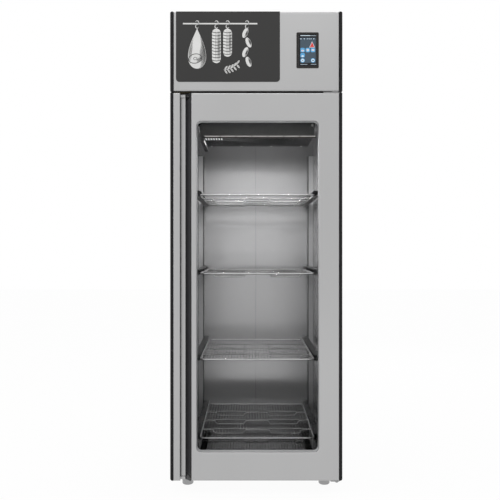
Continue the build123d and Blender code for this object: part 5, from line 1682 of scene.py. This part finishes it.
wheel_parts = [round_about(fan_tree, s["Blades"], blade)]
for radius_share, length_share in ((1.0, 1.0), (CAP_SHARE, CAP_REACH_SHARE)):
    radius = calc(fan_tree, "MULTIPLY", s["Hub Radius"], radius_share)
    length = calc(fan_tree, "MULTIPLY", s["Hub Length"], length_share)
    drum_sizes = {"Vertices": 32, "Radius": radius, "Depth": length}
    wheel_parts.append(put(fan_tree, "GeometryNodeMeshCylinder", drum_sizes).outputs[0])
end_tree(fan_tree, wheel_parts, s["Material"])

# %% Wire guard tree
RING_SIDES, GUARD_SIDES = 40, 6
BEHIND_SHARE = 1.6
guard_tree, s = new_tree(
    "wire_guard", rings=6, inner_radius=8 * mm, ring_pitch=8 * mm, wire_radius=1 * mm, spokes=4
)
circle_sizes = {"Resolution": RING_SIDES, "Radius": 1.0}
unit_circle = put(guard_tree, "GeometryNodeCurvePrimitiveCircle", circle_sizes).outputs[0]
ring_points = put(guard_tree, "GeometryNodeMeshLine", {"Count": s["Rings"], "Offset": (0, 0, 0)}).outputs[0]
ring_index = put(guard_tree, "GeometryNodeInputIndex").outputs[0]
ring_radius = calc(guard_tree, "MULTIPLY_ADD", ring_index, s["Ring Pitch"], s["Inner Radius"])
ring_scale = xyz(guard_tree, ring_radius, ring_radius, 1.0)
ring_set = {0: ring_points, "Instance": unit_circle, "Scale": ring_scale}
ring_copies = put(guard_tree, "GeometryNodeInstanceOnPoints", ring_set).outputs[0]
ring_curves = put(guard_tree, "GeometryNodeRealizeInstances", {"Geometry": ring_copies}).outputs[0]
ring_wires = wire(guard_tree, ring_curves, s["Wire Radius"], GUARD_SIDES)
last_ring = calc(guard_tree, "SUBTRACT", s["Rings"], 1.0)
outermost = calc(guard_tree, "MULTIPLY_ADD", last_ring, s["Ring Pitch"], s["Inner Radius"])
behind = calc(guard_tree, "MULTIPLY", s["Wire Radius"], -BEHIND_SHARE)
spoke_start, spoke_end = (xyz(guard_tree, x=reach, z=behind) for reach in (s["Inner Radius"], outermost))
spoke_line = straight_line(guard_tree, spoke_start, spoke_end)
spokes = round_about(guard_tree, s["Spokes"], wire(guard_tree, spoke_line, s["Wire Radius"], GUARD_SIDES))
end_tree(guard_tree, [ring_wires, spokes], s["Material"])

# %% Fans in place
WHEEL_SHARE = 0.985
HUB_SHARE = 0.34
HUB_LENGTH_SHARE, RISE_SHARE = 0.85, 0.8
face_front = Matrix.Rotation(math.radians(90), 4, "X")
for node, body in (
    ("evaporator_fan_left", "fan_left"),
    ("evaporator_fan_right", "fan_right"),
    ("condenser_fan", "fan_condenser"),
):
    low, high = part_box(node)
    tip = min(high.x - low.x, high.z - low.z) / 2 * WHEEL_SHARE
    depth = high.y - low.y
    wheel = run_tree(
        fan_tree,
        f"wheel_{body}",
        fan_plastic,
        (Matrix.Translation((low + high) / 2) @ face_front,),
        hub_radius=tip * HUB_SHARE,
        hub_length=depth * HUB_LENGTH_SHARE,
        tip_radius=tip,
        rise=depth * RISE_SHARE,
    )
    mount(wheel, body, node, slot="fan_plastic")

# %% Guards in place
GUARD_WIRE = 1 * mm
GUARD_OUT_SHARE = 0.9
guard_y = housing_high.y + GUARD_OUT_SHARE * GUARD_WIRE
guard_places = [Matrix.Translation((middle.x, guard_y, middle.z)) @ face_front for middle in fan_middles]
guards = run_tree(guard_tree, "evaporator_guards", bright_chrome, guard_places, wire_radius=GUARD_WIRE)
mount(guards, "root")

# %% [markdown]
# ## Compressor
# The compressor is a deep-drawn steel shell: two cups welded together at a belt, on a foot plate with rubber
# pads. A spun outline gives the domes and the belt, and the small terminal box sits on its side.
# %% Compressor shell
PAD = 16 * mm
FOOT_SHEET = 3 * mm
SHELL_RADIUS = 77 * mm
SHELL_SHARES = [(0.01, 0), (0.55, 0.004), (0.82, 0.04), (0.95, 0.12), (0.985, 0.22), (0.985, 0.56)]
SHELL_SHARES += [(1, 0.565), (1, 0.6), (0.985, 0.605), (0.975, 0.8), (0.93, 0.9), (0.82, 0.96)]
SHELL_SHARES += [(0.6, 0.99), (0.3, 1), (0.01, 1)]
comp_low, comp_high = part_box("compressor")
comp_middle = (comp_low + comp_high) / 2
shell_base = comp_low.z + PAD + FOOT_SHEET
shell_height = comp_high.z - shell_base
shell_outline = [(share * SHELL_RADIUS, lift * shell_height) for share, lift in SHELL_SHARES]
compressor = bmesh.new()
skin_rings(compressor, turned_rings(shell_outline, (comp_middle.x, comp_middle.y, shell_base), "Z", 56))
print("compressor shell", 2 * SHELL_RADIUS, "wide and", shell_height, "high")

# %% Foot plate, terminal box and pads
TERMINAL_HALF = 30 * mm
TERMINAL_NEAR, TERMINAL_FAR = 96 * mm, 70 * mm
TERMINAL_LIFT, TERMINAL_TOP = 40 * mm, 110 * mm
PAD_SHARES = [(0.8, 0), (0.85, 0.3), (0.6, 0.5), (0.85, 0.7), (0.8, 1)]
plate_low = (comp_low.x, comp_low.y, comp_low.z + PAD)
add_block(compressor, plate_low, (comp_high.x, comp_high.y, shell_base))
terminal_low = (comp_middle.x - TERMINAL_HALF, comp_middle.y - TERMINAL_NEAR, shell_base + TERMINAL_LIFT)
terminal_high = (comp_middle.x + TERMINAL_HALF, comp_middle.y - TERMINAL_FAR, shell_base + TERMINAL_TOP)
add_block(compressor, terminal_low, terminal_high)
pad_outline = [(share * PAD, lift * PAD) for share, lift in PAD_SHARES]
for x in (comp_low.x + PAD, comp_high.x - PAD):
    for y in (comp_low.y + PAD, comp_high.y - PAD):
        skin_rings(compressor, turned_rings(pad_outline, (x, y, comp_low.z), "Z", 20))
mount(keep("compressor_shell", compressor, compressor_paint), "root", "compressor", slot="compressor_paint")

# %% [markdown]
# ## Feet
# Each foot is a turned steel cup with a generously rounded lower edge, on a spindle that screws into the
# base. Turning the outline gives the round edge that catches the light.
# %% Turned feet
FOOT_RADIUS = 25.5 * mm
FOOT_ROUND = 6 * mm
FOOT_BEVEL = 1 * mm
SPINDLE_RADIUS = 7.9 * mm
CUP_HEIGHT = 58.7 * mm
POLE_RADIUS = 0.2 * mm
for tag, place in (("fl", "front_left"), ("rl", "rear_left"), ("fr", "front_right"), ("rr", "rear_right")):
    low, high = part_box(f"foot_{place}")
    outline = [(POLE_RADIUS, 0), (FOOT_RADIUS - FOOT_ROUND, 0)]
    for a in quarter[1:]:
        outline.append((FOOT_RADIUS - FOOT_ROUND * (1 - math.sin(a)), FOOT_ROUND * (1 - math.cos(a))))
    outline += [(FOOT_RADIUS, CUP_HEIGHT - FOOT_BEVEL), (FOOT_RADIUS - FOOT_BEVEL, CUP_HEIGHT)]
    outline += [(SPINDLE_RADIUS, CUP_HEIGHT), (SPINDLE_RADIUS, high.z), (POLE_RADIUS, high.z)]
    bm = bmesh.new()
    skin_rings(bm, turned_rings(outline, ((low.x + high.x) / 2, (low.y + high.y) / 2, 0), "Z", 48))
    mount(keep(f"turned_foot_{tag}", bm, foot_steel), f"foot_{tag}", f"foot_{place}", slot="foot_steel")

# %% [markdown]
# ## Screws
# The housing and the liner are held by hexagon washer-head screws, the kind that a fitter drives with a nut
# runner. The tree sets a row of heads, and copies of the row go wherever a sheet is fastened.
# %% Screw tree
WASHER_HEIGHT = 0.8 * mm
screw_tree, s = new_tree(
    "hexagon_screws", count=4, pitch=0.1, washer_radius=5 * mm, head_radius=3.6 * mm, head_height=2.2 * mm
)
head_depth = calc(screw_tree, "MULTIPLY", s["Head Height"], 2.0)
washer_sizes = {"Vertices": 16, "Radius": s["Washer Radius"], "Depth": WASHER_HEIGHT}
washer = put(screw_tree, "GeometryNodeMeshCylinder", washer_sizes).outputs[0]
head_sizes = {"Vertices": 6, "Radius": s["Head Radius"], "Depth": head_depth}
head = put(screw_tree, "GeometryNodeMeshCylinder", head_sizes).outputs[0]
first_screw = xyz(screw_tree, x=centred(screw_tree, s["Count"], s["Pitch"]))
screw = join(screw_tree, washer, head)
screws = row_of(screw_tree, s["Count"], first_screw, xyz(screw_tree, x=s["Pitch"]), screw)
end_tree(screw_tree, [screws], s["Material"], smooth=False)

# %% Screws inside the chamber
FRONT_SCREW_INSET = 30 * mm
REAR_SCREW_INSET = 12 * mm
SCREW_PITCH = 150 * mm
screw_steel = finish("screw_steel", (0.55, 0.55, 0.55), 0.3, 1.0, (500, 500, 500), bump=0.05)
ceiling_low, ceiling_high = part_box("ceiling_liner")
face_down = Matrix.Rotation(math.pi, 4, "X")
screw_rows = [
    ((ceiling_low.x + ceiling_high.x) / 2, ceiling_low.y + FRONT_SCREW_INSET, ceiling_low.z),
    ((housing_low.x + housing_high.x) / 2, housing_high.y - REAR_SCREW_INSET, underside),
]
screw_places = [Matrix.Translation(middle) @ face_down for middle in screw_rows]
mount(run_tree(screw_tree, "chamber_screws", screw_steel, screw_places, pitch=SCREW_PITCH), "root")

# %% [markdown]
# ## Chamber lamp
# The lenses glow in their material, but a glow that small hardly lights a room. So a soft lamp behind the
# strip throws its light straight down into the chamber, as the real strip does, and a much weaker one
# brightens the wall behind the housing. Neither shows in mirrored steel, where only the lenses should.
# %% Strip lamp and wall lamp
STRIP_POWER, WALL_POWER = 13, 0.5
STRIP_WIDTH, STRIP_SHARE, STRIP_DROP = 110 * mm, 0.85, 2 * mm
WALL_LAMP_LONG, WALL_LAMP_WIDE = 0.4, 30 * mm
WALL_LAMP_GAP, WALL_LAMP_DROP, WALL_TARGET_LIFT = 40 * mm, 20 * mm, 40 * mm
HAIR = 1 * mm
strip_x = (channel_low.x + channel_high.x) / 2
strip_y = (channel_low.y + channel_high.y) / 2 + STRIP_WIDTH / 2
strip_length = STRIP_SHARE * (channel_high.x - channel_low.x)
strip_place = (strip_x, strip_y, channel_low.z - STRIP_DROP)
wall_place = (strip_x, housing_high.y + WALL_LAMP_GAP, underside - WALL_LAMP_DROP)
wall_target = Vector((strip_x, rear_low.y, underside + WALL_TARGET_LIFT))
straight_down = Vector((strip_x, strip_y + HAIR, 0))
strip_lamp = soft_lamp("strip_lamp", strip_place, strip_length, STRIP_WIDTH, STRIP_POWER, straight_down)
wall_lamp = soft_lamp("wall_lamp", wall_place, WALL_LAMP_LONG, WALL_LAMP_WIDE, WALL_POWER, wall_target)
for lamp in (strip_lamp, wall_lamp):
    lamp.visible_glossy = False

# %% Sizes of the CAD box and the visual box
sizes = {"cad": [list(corner) for corner in cad_box], "visual": [list(corner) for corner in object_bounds()]}
print("CAD box", sizes["cad"], "visual box", sizes["visual"])
